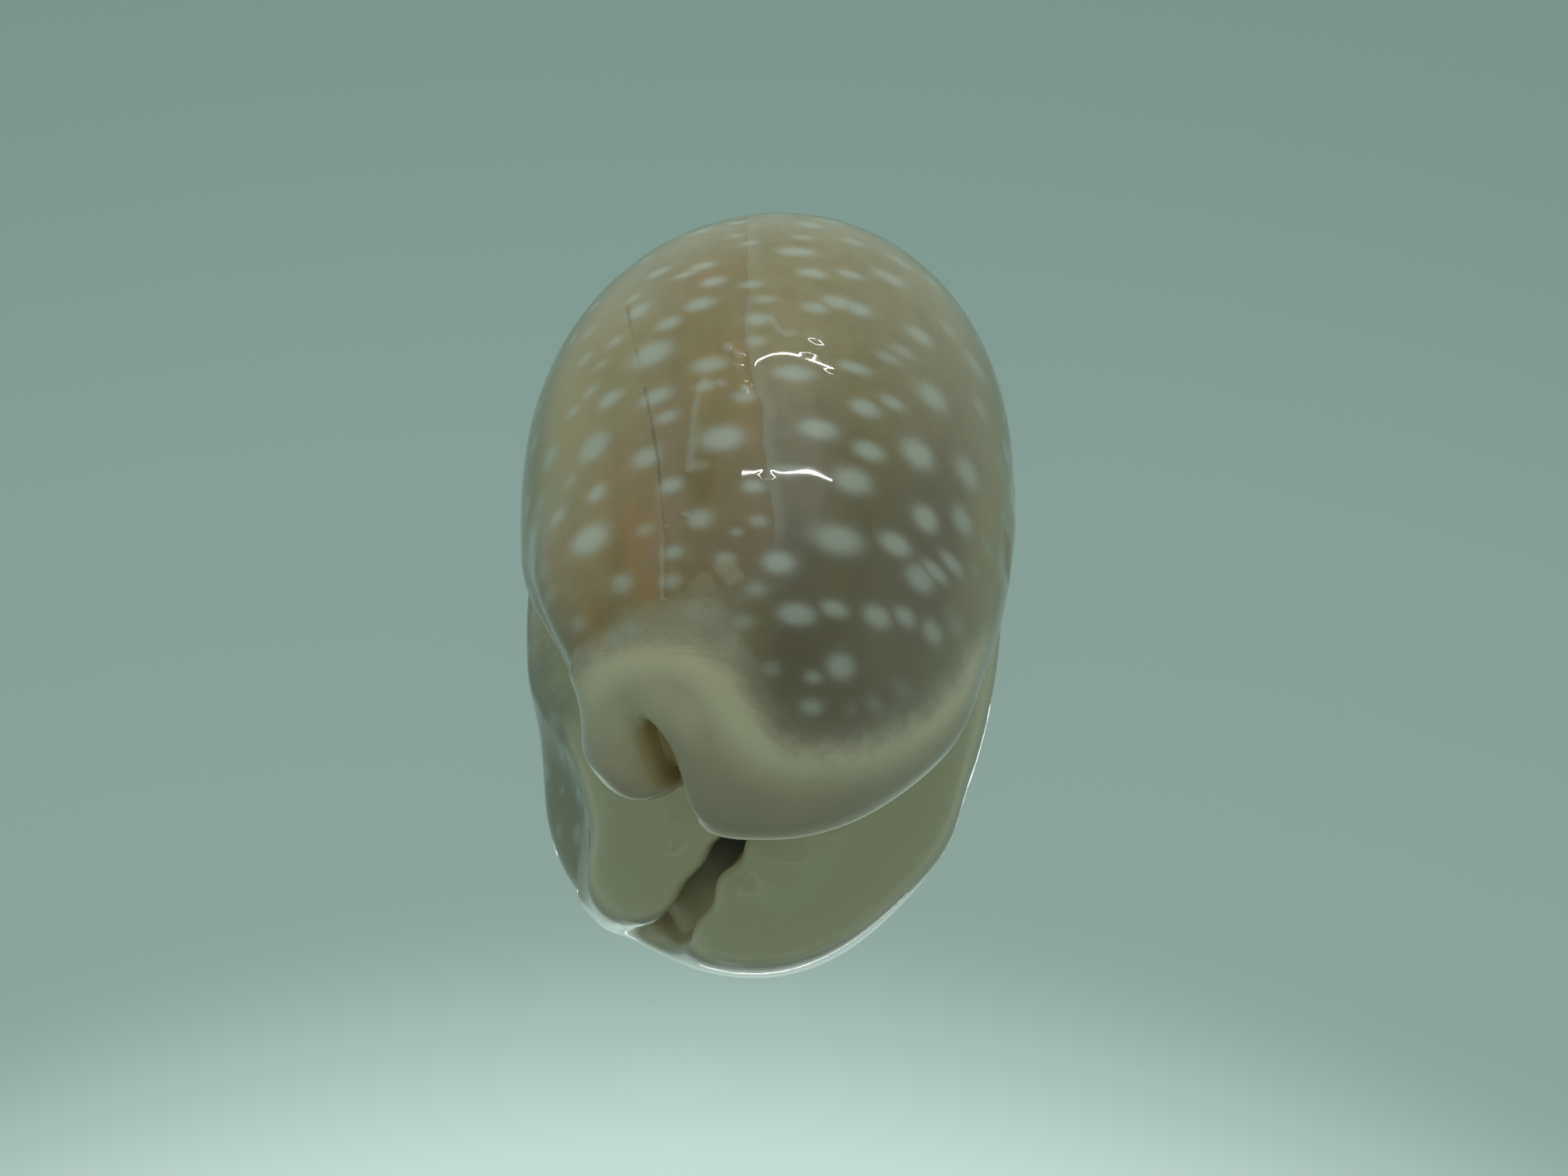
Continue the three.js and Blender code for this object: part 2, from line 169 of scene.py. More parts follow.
# White spots of the back that the picture shows: place, half width and half height in
# pixels, and how strongly each one shows.
SPOTS = (
    (1042, 290, 15, 5, 0.7), (1032, 306, 14, 4, 0.6), (1024, 324, 22, 6, 0.9), (1095, 311, 14, 5, 0.6),
    (963, 313, 13, 4, 0.6), (947, 303, 11, 3, 0.5), (1044, 352, 18, 6, 0.9), (1092, 353, 16, 5, 0.8),
    (1145, 358, 20, 8, 0.8), (1048, 396, 15, 7, 0.9), (1076, 389, 17, 8, 1.0), (1104, 398, 15, 8, 1.0),
    (966, 366, 16, 5, 0.7), (984, 385, 15, 5, 0.7), (974, 411, 15, 8, 0.9), (972, 439, 13, 7, 0.7),
    (1022, 480, 25, 10, 0.9), (1098, 473, 20, 7, 0.9), (1182, 432, 16, 9, 0.9), (1160, 452, 16, 7, 0.6),
    (1142, 461, 16, 7, 0.6), (1218, 423, 12, 10, 0.5), (1199, 511, 18, 14, 0.9), (1254, 471, 14, 12, 0.6),
    (1156, 336, 15, 7, 0.5), (1112, 525, 18, 10, 1.0), (1147, 518, 15, 8, 0.8), (1052, 552, 23, 12, 1.0),
    (1117, 580, 18, 11, 1.0), (1180, 584, 19, 16, 1.0), (1243, 608, 15, 16, 0.8), (1096, 618, 23, 15, 1.0),
    (1190, 667, 15, 14, 1.0), (1237, 670, 13, 14, 0.8), (1078, 694, 30, 17, 1.0), (1151, 700, 19, 12, 1.0),
    (1001, 723, 19, 13, 1.0), (1224, 725, 15, 8, 0.9), (1183, 744, 17, 14, 0.9), (1202, 735, 16, 8, 0.9),
    (1025, 790, 23, 13, 1.0), (1073, 783, 17, 10, 0.9), (1128, 793, 17, 12, 0.9), (1164, 793, 14, 10, 0.8),
    (1199, 813, 12, 11, 0.8), (1081, 857, 17, 15, 0.9), (1046, 871, 12, 8, 0.7), (1043, 909, 15, 11, 0.7),
    (991, 860, 14, 10, 0.5), (972, 758, 15, 10, 0.5), (955, 799, 15, 11, 0.5), (837, 455, 25, 14, 1.0),
    (903, 342, 16, 5, 0.9), (881, 353, 16, 4, 0.8), (847, 350, 14, 5, 0.8), (917, 362, 15, 6, 0.9),
    (900, 391, 19, 8, 0.9), (859, 416, 16, 8, 0.9), (821, 400, 14, 8, 0.9), (813, 384, 10, 5, 0.7),
    (911, 469, 22, 10, 0.9), (843, 510, 21, 10, 0.9), (857, 536, 15, 8, 0.8), (784, 513, 16, 9, 0.9),
    (762, 575, 19, 15, 1.0), (831, 588, 18, 12, 0.9), (928, 563, 27, 15, 1.0), (707, 588, 10, 13, 0.8),
    (767, 634, 12, 11, 0.8), (862, 624, 15, 10, 0.9), (758, 694, 23, 17, 1.0), (899, 667, 15, 12, 0.8),
    (829, 681, 12, 9, 0.5), (865, 710, 14, 9, 0.7), (800, 750, 14, 12, 0.7), (862, 747, 16, 10, 0.6),
    (717, 665, 10, 10, 0.6), (743, 803, 10, 11, 0.5), (931, 718, 12, 9, 0.6), (969, 625, 15, 9, 0.8),
    (958, 509, 15, 8, 0.7), (733, 618, 9, 8, 0.5), (695, 646, 8, 10, 0.5), (684, 695, 8, 10, 0.4),
    (695, 736, 9, 11, 0.4), (752, 462, 11, 7, 0.7), (772, 469, 10, 5, 0.6), (737, 529, 10, 6, 0.7),
    (758, 504, 11, 6, 0.7), (790, 439, 12, 7, 0.7), (758, 427, 10, 6, 0.5), (975, 670, 12, 8, 0.6),
    (947, 684, 9, 6, 0.5), (907, 496, 15, 7, 0.7), (900, 598, 14, 7, 0.4), (1011, 606, 22, 8, 0.7),
    (1260, 525, 10, 11, 0.5), (1286, 602, 9, 13, 0.4), (1231, 806, 13, 12, 0.4), (1270, 704, 8, 10, 0.4),
    (1253, 735, 8, 9, 0.3), (1160, 887, 14, 11, 0.3), (1124, 906, 12, 9, 0.4), (1096, 912, 10, 8, 0.3),
    (794, 822, 14, 10, 0.6), (772, 843, 11, 9, 0.5), (704, 769, 9, 10, 0.4), (811, 810, 15, 10, 0.6),
)
# How much wider the stamped spots are, how they fall off, and the most that slant widens them.
SPOT_SPREAD = 1.15
SPOT_FALL = 1.05
SPOT_POWER = 2.5
LEAST_SLANT = 0.3

# Spots where the picture shows none: how many at most, the least gap between them, and the
# ranges of their half height in millimetres, their stretch and their strength. A point is in
# the picture where its normal leans this far towards the camera.
HIDDEN_SPOTS = 240
HIDDEN_SPOT_GAP = 2.9
HIDDEN_SPOT_HALF = (0.45, 1.0)
HIDDEN_SPOT_STRETCH = (1.1, 1.5)
HIDDEN_SPOT_STRENGTH = (0.5, 1.0)
IN_PICTURE = 0.22
SEED = 7

# Fine dark scars, the pale ridge beside them and a faint trail, as lines of picture pixels.
SCAR_LINE = (
    (806, 393), (812, 425), (820, 460), (829, 500), (838, 545), (846, 590), (850, 640), (855, 690),
    (855, 766),
)
SECOND_SCAR_LINE = ((882, 600), (882, 640), (881, 690), (879, 745))
PALE_RIDGE_LINE = ((905, 489), (894, 522), (890, 560), (886, 604))
TRAIL_LINE = ((990, 408), (1000, 422), (1012, 431), (1021, 428))
PALE_RIDGE_HEIGHT = 0.07
TRAIL_HEIGHT = 0.01

# Little blisters in the glaze: place, radius in pixels and height in millimetres. One that
# rises by BLISTER_WHOLE or more is drawn at its palest: partly a pale speck of its own, partly painted light
# that offsets the shade on its tilted sides.
BLISTERS = (
    (936, 447, 8, 0.16), (948, 455, 6, 0.18), (926, 493, 6, 0.16), (957, 500, 7, 0.2), (948, 469, 4, 0.14),
    (1038, 453, 4, 0.06), (986, 616, 4, 0.1), (1046, 432, 9, 0.05), (1056, 438, 8, 0.04), (880, 662, 4, 0.12),
    (1069, 483, 4, 0.08), (855, 677, 3, 0.1),
)
BLISTER_SPREAD = 1.35
BLISTER_RISE = 0.9
BLISTER_WHOLE = 0.12

# Cream patch of thin glaze low on the back: place and radius in pixels, and strength.
CREAM_PATCHES = ((936, 732, 17, 1.0), (905, 752, 20, 0.6), (880, 790, 24, 0.35))

# Where the two folds of the living animal met: a line down the middle of the back.
MANTLE_LINE = (
    (962, 318), (961, 345), (964, 375), (959, 405), (957, 425), (962, 450), (967, 480), (972, 500),
    (981, 520), (981, 570), (985, 595), (990, 630), (996, 665), (992, 700),
)
MANTLE_LINE_END = -15.2
MANTLE_LINE_FADE = 2.5
# A faint growth line low on the right.
GROWTH_LINE = ((1108, 640), (1117, 665), (1126, 700), (1121, 750), (1115, 800), (1110, 850), (1109, 920))

# Soft washes of colour over the back: place, half width and half height in pixels, strength. One wash is painted
# shade, low on the back and on the flanks, and the pale flank wash is partly painted light.
WASHES = {
    "warm": (
        (935, 470, 55, 45, 0.7), (962, 545, 26, 50, 1.0), (815, 690, 42, 62, 0.8), (798, 610, 40, 55, 0.55),
        (832, 752, 40, 34, 0.85), (762, 800, 30, 34, 0.8), (895, 355, 55, 22, 0.5), (880, 410, 40, 35, 0.35),
        (735, 720, 40, 60, 0.3),
    ),
    "pink": (
        (862, 560, 22, 60, 0.8), (862, 650, 20, 50, 0.9), (857, 715, 16, 40, 0.6), (825, 560, 16, 60, 0.3),
    ),
    "milky": ((1110, 400, 80, 50, 0.2), (1190, 460, 60, 70, 0.2), (820, 380, 60, 40, 0.3)),
    "golden": (
        (932, 620, 46, 60, 0.8), (950, 690, 46, 50, 0.9), (905, 738, 46, 26, 1.0), (975, 640, 26, 80, 0.6),
        (905, 690, 30, 50, 0.7), (935, 540, 40, 40, 0.4),
    ),
    # Partly the flanks' own paler colour, partly painted light along both flanks.
    "straw_and_painted_light": (
        (728, 540, 40, 100, 0.8), (770, 430, 50, 50, 0.6), (700, 640, 26, 60, 0.6), (800, 500, 40, 60, 0.25),
        (1278, 700, 26, 140, 0.85), (1250, 800, 30, 40, 0.5), (1000, 400, 70, 50, 0.2), (925, 480, 40, 60, 0.3),
    ),
    # Painted shade: places darkened low on the back and on the flanks.
    "painted_shade": (
        (985, 620, 80, 110, 0.8), (965, 730, 80, 80, 1.0), (940, 715, 70, 70, 1.0), (1000, 700, 60, 70, 1.0),
        (1010, 820, 70, 60, 0.7), (905, 640, 40, 90, 0.6), (1040, 560, 60, 60, 0.7), (965, 860, 30, 40, 0.8),
        (1075, 690, 60, 70, 0.3), (1215, 690, 60, 120, 1.0), (720, 660, 40, 40, 0.5), (1225, 560, 40, 60, 0.4),
        (1060, 870, 60, 50, 0.4), (705, 690, 26, 40, 0.5),
    ),
}
# Painted light: places of the callus beside the hook's notch, in the funnel above the canal, made paler where
# the shape falls into shade.
FUNNEL_PAINTED_LIGHT = (
    (820, 905, 60, 30, 0.6), (765, 905, 26, 60, 0.7), (885, 910, 30, 40, 0.6), (800, 960, 30, 30, 0.3),
)

# Where the pale callus ends, from the hook's neck round its collar to the right flank. Where
# the picture shows no edge, it is given as a heading round the shell and a height.
CALLUS_EDGE = (
    (741, 842), (762, 830), (792, 808), (838, 794), (888, 791), (920, 801), (948, 824), (966, 860),
    (985, 900), (1002, 932), (1046, 950), (1090, 949), (1133, 939), (1176, 917), (1210, 883), (1240, 844),
    (1261, 806), (1280, 740), (1291, 680),
)
CALLUS_EDGE_UNSEEN = (
    (-10.0, 10.0), (15.0, 8.0), (50.0, 8.5), (78.0, 13.0), (102.0, 13.5), (130.0, 8.5), (160.0, 6.0),
    (190.0, 5.0), (208.0, 5.5), (222.0, 9.0),
)
CALLUS_CENTRE = np.array((0.0, -2.0, 6.0))
CALLUS_HALF_SIZE = (19.0, 27.0)
CALLUS_WANDER = 0.45

# How far the callus frays into the back, near the hook's notch and away from it.
FRINGE = (3.6, 1.1)
FRINGE_SHARE = 0.6

# The lightest line along the top of the collar and the lip; its cream is partly the callus's own and partly
# painted light on the top of the ridge.
CREST_LINE = (
    (762, 889), (782, 865), (812, 847), (849, 839), (887, 847), (913, 868), (935, 900), (956, 932),
    (988, 961), (1033, 972), (1073, 967), (1120, 962), (1165, 946), (1205, 917), (1238, 872), (1256, 825),
)
CREST_WIDTH = 2.2

# The crisp ridge where the sides meet the base, strongest at the hooked end.
MARGIN_RIDGE_HEIGHT = 0.26
MARGIN_RIDGE_WIDTH = 0.7

# Noises of the glaze, each with its scale, detail and roughness, and two tints that multiply
# the back's colour: its own mottle, and a painted shade.
CLOUDS = (150.0, 4.0, 0.55)
STREAKS = (420.0, 2.0, 0.5)
STREAK_STRETCH = (1.0, 0.1, 0.3)
GRAIN = (1300.0, 3.0, 0.6)
MOTTLE = (620.0, 5.0, 0.7)
HAIRS = (22.0, 3.0, 0.65)
HAIR_LENGTH = 0.012
MOTTLE_SHADE = (0.86, 0.84, 0.8)
# Painted shade, multiplied where the back should fall into shade.
PAINTED_SHADE_TINT = (0.67, 0.63, 0.56)
GLAZE_BUMP = (420.0, 2.0, 0.5)
GLAZE_BUMP_STRENGTH = 0.2
GLAZE_BUMP_HEIGHT = 0.3 * MM


def smoothstep(value, low, high):
    share = np.clip((value - low) / (high - low), 0, 1)
    return share * share * (3 - 2 * share)


def mix(a, b, share):
    return a + (b - a) * share


def smooth_min(a, b, blend):
    share = np.clip(0.5 + 0.5 * (b - a) / blend, 0, 1)
    return mix(b, a, share) - blend * share * (1 - share)


def smooth_max(a, b, blend):
    return -smooth_min(-a, -b, blend)


def unit(vectors):
    return vectors / np.linalg.norm(vectors, axis=-1, keepdims=True)


# Each field is roughly a distance: negative inside, positive outside.
def ellipsoid_field(points, centre, radii):
    offset = points - np.array(centre)
    scaled = np.linalg.norm(offset / np.array(radii), axis=-1)
    return np.linalg.norm(offset, axis=-1) * (1 - 1 / np.maximum(scaled, 1e-6))


def dome_field(points):
    x, y, z = points[..., 0], points[..., 1], points[..., 2]
    across = x - SWAY * y
    across = np.abs(across / np.where(across < 0, HALF_WIDTH_LEFT, HALF_WIDTH_RIGHT))
    along = np.abs(y / np.where(y < 0, LENGTH_HOOK_END, LENGTH_FRONT_END))
    up = z - WIDEST_HEIGHT
    scaled_up = up / np.where(up > 0, DOME_HEIGHT, DOME_DEPTH_BELOW)
    plan = (across**PLAN_ROUNDNESS + along**PLAN_ROUNDNESS) ** (2 / PLAN_ROUNDNESS)
    scaled = np.sqrt(plan + scaled_up**2)
    return np.sqrt(x**2 + y**2 + up**2) * (1 - 1 / np.maximum(scaled, 1e-6))


def base_field(points):
    x, y, z = points[..., 0], points[..., 1], points[..., 2]
    arch_along = np.where(y < 0, BASE_ARCH_HOOK, BASE_ARCH_FRONT)
    return np.maximum(BASE_ARCH_ACROSS * x**2 + arch_along * y**2 - FLAT_SPOT, 0) - z


def upper_field(points):
    """Everything but the base."""
    field = dome_field(points)
    for centre, radii, blend in (HOOK_BEAK, HOOK_LIP, HOOK_SHOULDER, FRONT_BEAK):
        field = smooth_min(field, ellipsoid_field(points, centre, radii), blend)
    centre, radii, blend = NECK_BITE
    return smooth_max(field, -ellipsoid_field(points, centre, radii), blend)


def outside_field(points):
    return smooth_max(upper_field(points), base_field(points), MARGIN_ROUNDING)


# A ball of directions around the heart has its poles at the two notches. Away from the poles
# it turns back in line with the body, so that its middle sections stand upright.
def turn_to_notch(notch, rest):
    aim = unit((notch - HEART) / REACH)
    axis = unit(np.cross(rest, aim))
    return axis, math.acos(float(np.dot(rest, aim)))


HOOK_TURN = turn_to_notch(HOOK_NOTCH, np.array((0.0, -1.0, 0.0)))
FRONT_TURN = turn_to_notch(FRONT_NOTCH, np.array((0.0, 1.0, 0.0)))


def world_direction(ball):
    latitude = np.arcsin(np.clip(ball[..., 1:2], -1, 1)) / (math.pi / 2)
    near_hook = latitude < 0
    axis = np.where(near_hook, HOOK_TURN[0], FRONT_TURN[0])
    angle = np.where(near_hook, HOOK_TURN[1], FRONT_TURN[1]) * np.abs(latitude) ** TURN_IN_POWER
    along_axis = (axis * ball).sum(-1, keepdims=True) * axis
    turned = ball * np.cos(angle) + np.cross(axis, ball) * np.sin(angle) + along_axis * (1 - np.cos(angle))
    return turned * REACH


def surface_points(ball, depth=0.0):
    """The points on the outside in these directions, moved inwards by depth."""
    ray = world_direction(ball)
    near = np.full(ray.shape[:-1], CAST_NEAR)
    far = np.full(ray.shape[:-1], CAST_FAR)
    for _ in range(CAST_STEPS):
        middle = (near + far) / 2
        inside = outside_field(HEART + ray * middle[..., None]) < 0
        near = np.where(inside, middle, near)
        far = np.where(inside, far, middle)
    length = np.linalg.norm(ray, axis=-1)
    return HEART + ray * (near - depth / length)[..., None]


def slit_direction(along, sideways):
    """A direction beside the middle line of the slit, which runs from notch to notch."""
    latitude = along - math.pi / 2
    swing = SLIT_SWING * np.exp(-(((latitude - SLIT_SWING_AT) / SLIT_SWING_SPREAD) ** 2))
    across = np.stack((np.cos(swing), np.zeros_like(swing), np.sin(swing)), -1)
    ring = np.cos(latitude)
    middle = np.stack((ring * np.sin(swing), np.sin(latitude), -ring * np.cos(swing)), -1)
    return middle * np.cos(sideways)[..., None] + across * np.sin(sideways)[..., None]


class Stations:
    """Places along the slit: an arc round each notch, and between them steps in time with the teeth."""

    def __init__(self, teeth, steps_per_tooth, arc_steps):
        arc = np.linspace(0, math.pi / 2, arc_steps + 1)
        hook_at = (NOTCH_RADIUS + LIP_TOP_HOOK[0]) / MM_PER_RADIAN
        front_at = math.pi - (NOTCH_RADIUS + LIP_TOP_FRONT[0]) / MM_PER_RADIAN
        count = teeth * steps_per_tooth
        share = np.arange(1, count) / count
        beside = mix(hook_at, front_at, share)
        self.along = np.concatenate((np.full(arc.size, hook_at), beside, np.full(arc.size, front_at)))
        self.angle = np.concatenate((arc, np.full(share.size, math.pi / 2), arc[::-1]))
        self.end = np.concatenate((np.full(arc.size, -1.0), np.zeros(share.size), np.full(arc.size, 1.0)))
        tooth = 0.5 - 0.5 * np.cos(share * teeth * 2 * math.pi)
        self.tooth = np.concatenate((np.zeros(arc.size), tooth, np.zeros(arc.size)))
        self.from_end = np.minimum(self.along, math.pi - self.along) * MM_PER_RADIAN

    def beside_slit(self, side, offset):
        taper = smoothstep(self.from_end - NOTCH_RADIUS, 0, NOTCH_TAPER)
        reach = (mix(NOTCH_RADIUS, SLIT_HALF_WIDTH, taper) + offset) / MM_PER_RADIAN
        along = self.along + self.end * reach * np.cos(self.angle)
        return slit_direction(along, side * reach * np.sin(self.angle))

    def lip_shape(self, side):
        """Each station's roll and drop on one side of the slit."""
        near_hook = smoothstep(self.along * MM_PER_RADIAN, 0, HOOK_SPAN)
        near_front = smoothstep((math.pi - self.along) * MM_PER_RADIAN, 0, FRONT_SPAN)
        from_top = np.sin(self.angle) ** 2
        sizes = []
        for part in range(2):
            beside = mix(LIP_HOOK[side][part], LIP_BODY[side][part], near_hook)
            beside = mix(LIP_FRONT[side][part], beside, near_front)
            top = np.where(self.end > 0, LIP_TOP_FRONT[part], LIP_TOP_HOOK[part])
            sizes.append(mix(top, beside, from_top))
        return sizes

    def past_hook(self):
        """0 in the shallow canal at the hooked end, rising to 1 along the rest of the slit."""
        return smoothstep(self.along * MM_PER_RADIAN, HOOK_SPAN, 2 * HOOK_SPAN)

    def tooth_size(self):
        return self.tooth * smoothstep(self.from_end, TOOTH_FADE, 2 * TOOTH_FADE)


def polar(ball):
    latitude = np.arcsin(np.clip(ball[..., 1], -1, 1))
    return latitude, np.arctan2(ball[..., 0], -ball[..., 2])


def from_polar(latitude, turn):
    ring = np.cos(latitude)
    return np.stack((ring * np.sin(turn), np.sin(latitude), -ring * np.cos(turn)), -1)


def over_directions(right, left, count):
    """Directions over the back, from the right lip round to the left lip."""
    latitude_right, turn_right = polar(right)
    latitude_left, turn_left = polar(left)
    even = np.arange(1, count) / count
    if count > FINE_FROM:
        closeness = 1 + FINE_MORE * np.exp(-(((FINE - FINE_AT) / FINE_SPREAD) ** 2))
        even = np.interp(even, np.cumsum(closeness) / closeness.sum(), FINE)
    share = (even - COLUMN_SWAY * np.sin(2 * math.pi * even))[None, :]
    latitude = mix(latitude_right[:, None], latitude_left[:, None], share)
    turn = mix(turn_right[:, None], turn_left[:, None] + 2 * math.pi, share)
    return from_polar(latitude, turn)


class ShellGrid:
    """The whole skin of the shell as rows of closed loops, in millimetres."""

    def __init__(self, teeth, steps_per_tooth, over_steps):
        self.stations = Stations(teeth, steps_per_tooth, ARC_STEPS)
        self.over_steps = over_steps
        self.lip_size = ROLL_STEPS + 2
        right, right_weight, right_ridge = self.lip(1)
        left, left_weight, left_ridge = self.lip(-1)
        over, over_ridge = self.over()
        inside = self.inside(right[:, -1], left[:, -1], INSIDE_STEPS)
        none = np.zeros((len(right), INSIDE_STEPS))
        whole = np.ones((len(right), over_steps - 1))

        def loop(right_part, over_part, left_part, inside_part):
            parts = (right_part[:, :1], over_part, left_part, inside_part, right_part[:, :0:-1])
            return np.concatenate(parts, 1)

        self.points = loop(right, over, left, inside[:, ::-1])
        self.outside = loop(right_weight, whole, left_weight, none)
        self.ridge = loop(right_ridge, over_ridge, left_ridge, none)

    def lip(self, side):
        """One lip, from the outside down its roll to the foot of its wall."""
        stations = self.stations
        roll, drop = stations.lip_shape(side)
        tooth = stations.tooth_size() * TOOTH_DEPTH[side]
        points, weights, ridges = [], [], []
        for step in range(ROLL_STEPS + 1):
            bend = step / ROLL_STEPS * math.pi / 2
            offset = roll * (1 - math.sin(bend)) - tooth * math.sin(bend) ** 2
            depth = drop * (1 - math.cos(bend))
            points.append(surface_points(stations.beside_slit(side, offset), depth))
            weights.append(np.full(len(roll), math.cos(bend)))
            ridges.append(stations.tooth_size() * math.cos(bend))
        wall = mix(LIP_WALL_HOOK, LIP_WALL, stations.past_hook())
        points.append(surface_points(stations.beside_slit(side, 0 * roll), drop + wall))
        weights.append(0 * roll)
        ridges.append(0 * roll)
        return np.stack(points, 1), np.stack(weights, 1), np.stack(ridges, 1)

    def over(self):
        """The back between the two lips, and the ridges that the teeth run out in."""
        stations = self.stations
        edges = {side: stations.beside_slit(side, stations.lip_shape(side)[0]) for side in (1, -1)}
        points = surface_points(over_directions(edges[1], edges[-1], self.over_steps))
        ridge = np.zeros(points.shape[:2])
        for side in (1, -1):
            edge = surface_points(edges[side])
            run = np.linalg.norm(points - edge[:, None, :], axis=-1) / TOOTH_RIDGE_RUN[side]
            ridge = np.maximum(ridge, stations.tooth_size()[:, None] * (1 - smoothstep(run, 0, 1)))
        return points, ridge

    def inside(self, right_foot, left_foot, count):
        """A groove near the notches that opens into the hollow."""
        stations = self.stations
        length = np.where(stations.along < math.pi / 2, CANAL_LENGTH_HOOK, CANAL_LENGTH)
        opened = smoothstep(stations.from_end, length, length + HOLLOW_OPENS_OVER)
        opened = (opened**HOLLOW_OPENS_POWER)[:, None, None]
        edge = HOLLOW_EDGE * np.sin(stations.angle)
        right = stations.beside_slit(1, edge)
        left = stations.beside_slit(-1, edge)
        around = np.concatenate((right[:, None], over_directions(right, left, count - 1), left[:, None]), 1)
        share = (np.arange(1, count + 1) / (count + 1))[None, :, None]
        groove = mix(right_foot[:, None], left_foot[:, None], (1 - np.cos(math.pi * share)) / 2)
        floor = mix(CANAL_FLOOR_HOOK, CANAL_FLOOR, stations.past_hook()) * np.sin(stations.angle)
        sink = floor[:, None, None] * np.sin(math.pi * share)
        groove = groove + unit(HEART - groove) * sink
        towards_base = smoothstep(-around[..., 2], 0.2, 0.95)
        wall = WALL + WALL_END * np.abs(around[..., 1]) ** HOLLOW_END_POWER + WALL_BASE * towards_base
        return mix(groove, surface_points(around, wall), opened)

    def closed_up(self, first):
        """At a notch the loop closes up: both lips share their points, and so does the groove."""
        loop_size = self.points.shape[1]
        indices = []
        for place in range(loop_size):
            step = place - self.over_steps if place < self.over_steps + self.lip_size else loop_size - place
            indices.append(first + max(0, min(step, self.lip_size - 1)))
        return indices

    def faces(self):
        """Corner lists, and for each mesh point the row and place that it stands for."""
        rows, loop_size = self.points.shape[:2]
        keys = []
        indices = []
        for row in range(rows):
            first = len(keys)
            if row in (0, rows - 1):
                keys.extend((row, self.over_steps + step) for step in range(self.lip_size))
                indices.append(self.closed_up(first))
            else:
                keys.extend((row, place) for place in range(loop_size))
                indices.append(list(range(first, first + loop_size)))
        faces = []
        for row in range(rows - 1):
            for place in range(loop_size):
                after = (place + 1) % loop_size
                here, ahead = indices[row], indices[row + 1]
                corners = tuple(dict.fromkeys((here[place], ahead[place], ahead[after], here[after])))
                if len(corners) > 2:
                    faces.append(corners)
        return faces, np.array(keys)


class PictureCamera:
    """Turns picture pixels into rays, and says how big things look."""

    def __init__(self):
        elevation = math.radians(CAMERA_ELEVATION)
        azimuth = math.radians(CAMERA_AZIMUTH)
        roll = math.radians(CAMERA_ROLL)
        flat = math.cos(elevation)
        self.back = np.array((math.sin(azimuth) * flat, -math.cos(azimuth) * flat, math.sin(elevation)))
        right = np.array((math.cos(azimuth), math.sin(azimuth), 0.0))
        up = np.cross(self.back, right)
        self.right = right * math.cos(roll) + up * math.sin(roll)
        self.up = up * math.cos(roll) - right * math.sin(roll)
        self.eye = CAMERA_TARGET + self.back * CAMERA_DISTANCE

    def ray(self, x, y):
        across = (x - PICTURE_WIDTH / 2) / FOCAL_PIXELS
        down = (y - PICTURE_HEIGHT / 2) / FOCAL_PIXELS
        return unit(self.right * across - self.up * down - self.back)

    def matrix(self):
        columns = Matrix((self.right, self.up, self.back)).transposed().to_4x4()
        return Matrix.Translation(Vector(self.eye * MM)) @ columns


CAMERA = PictureCamera()


def distance_to_line(points, line):
    """Each point's distance to a line through a list of places."""
    best = np.full(len(points), np.inf)
    for start, stop in zip(line[:-1], line[1:]):
        step = stop - start
        share = np.clip(((points - start) @ step) / (step @ step), 0, 1)
        best = np.minimum(best, np.linalg.norm(points - (start + share[:, None] * step), axis=1))
    return best


def wander(points, size, seed):
    """A smooth, seeded wobble between -1 and 1, made of a few crossing waves."""
    rng = np.random.default_rng(seed)
    total = np.zeros(len(points))
    for _ in range(5):
        heading = unit(rng.normal(size=3))
        total += np.sin(points @ heading * (2 * math.pi / size) * rng.uniform(0.6, 1.6) + rng.uniform(0, 6.28))
    return total / 5


def heading_and_rise(offset):
    """The heading of each offset round the shell, and its angle above the level."""
    across = np.hypot(offset[:, 0], offset[:, 1])
    return np.arctan2(offset[:, 1], offset[:, 0]), np.arctan2(offset[:, 2], across)


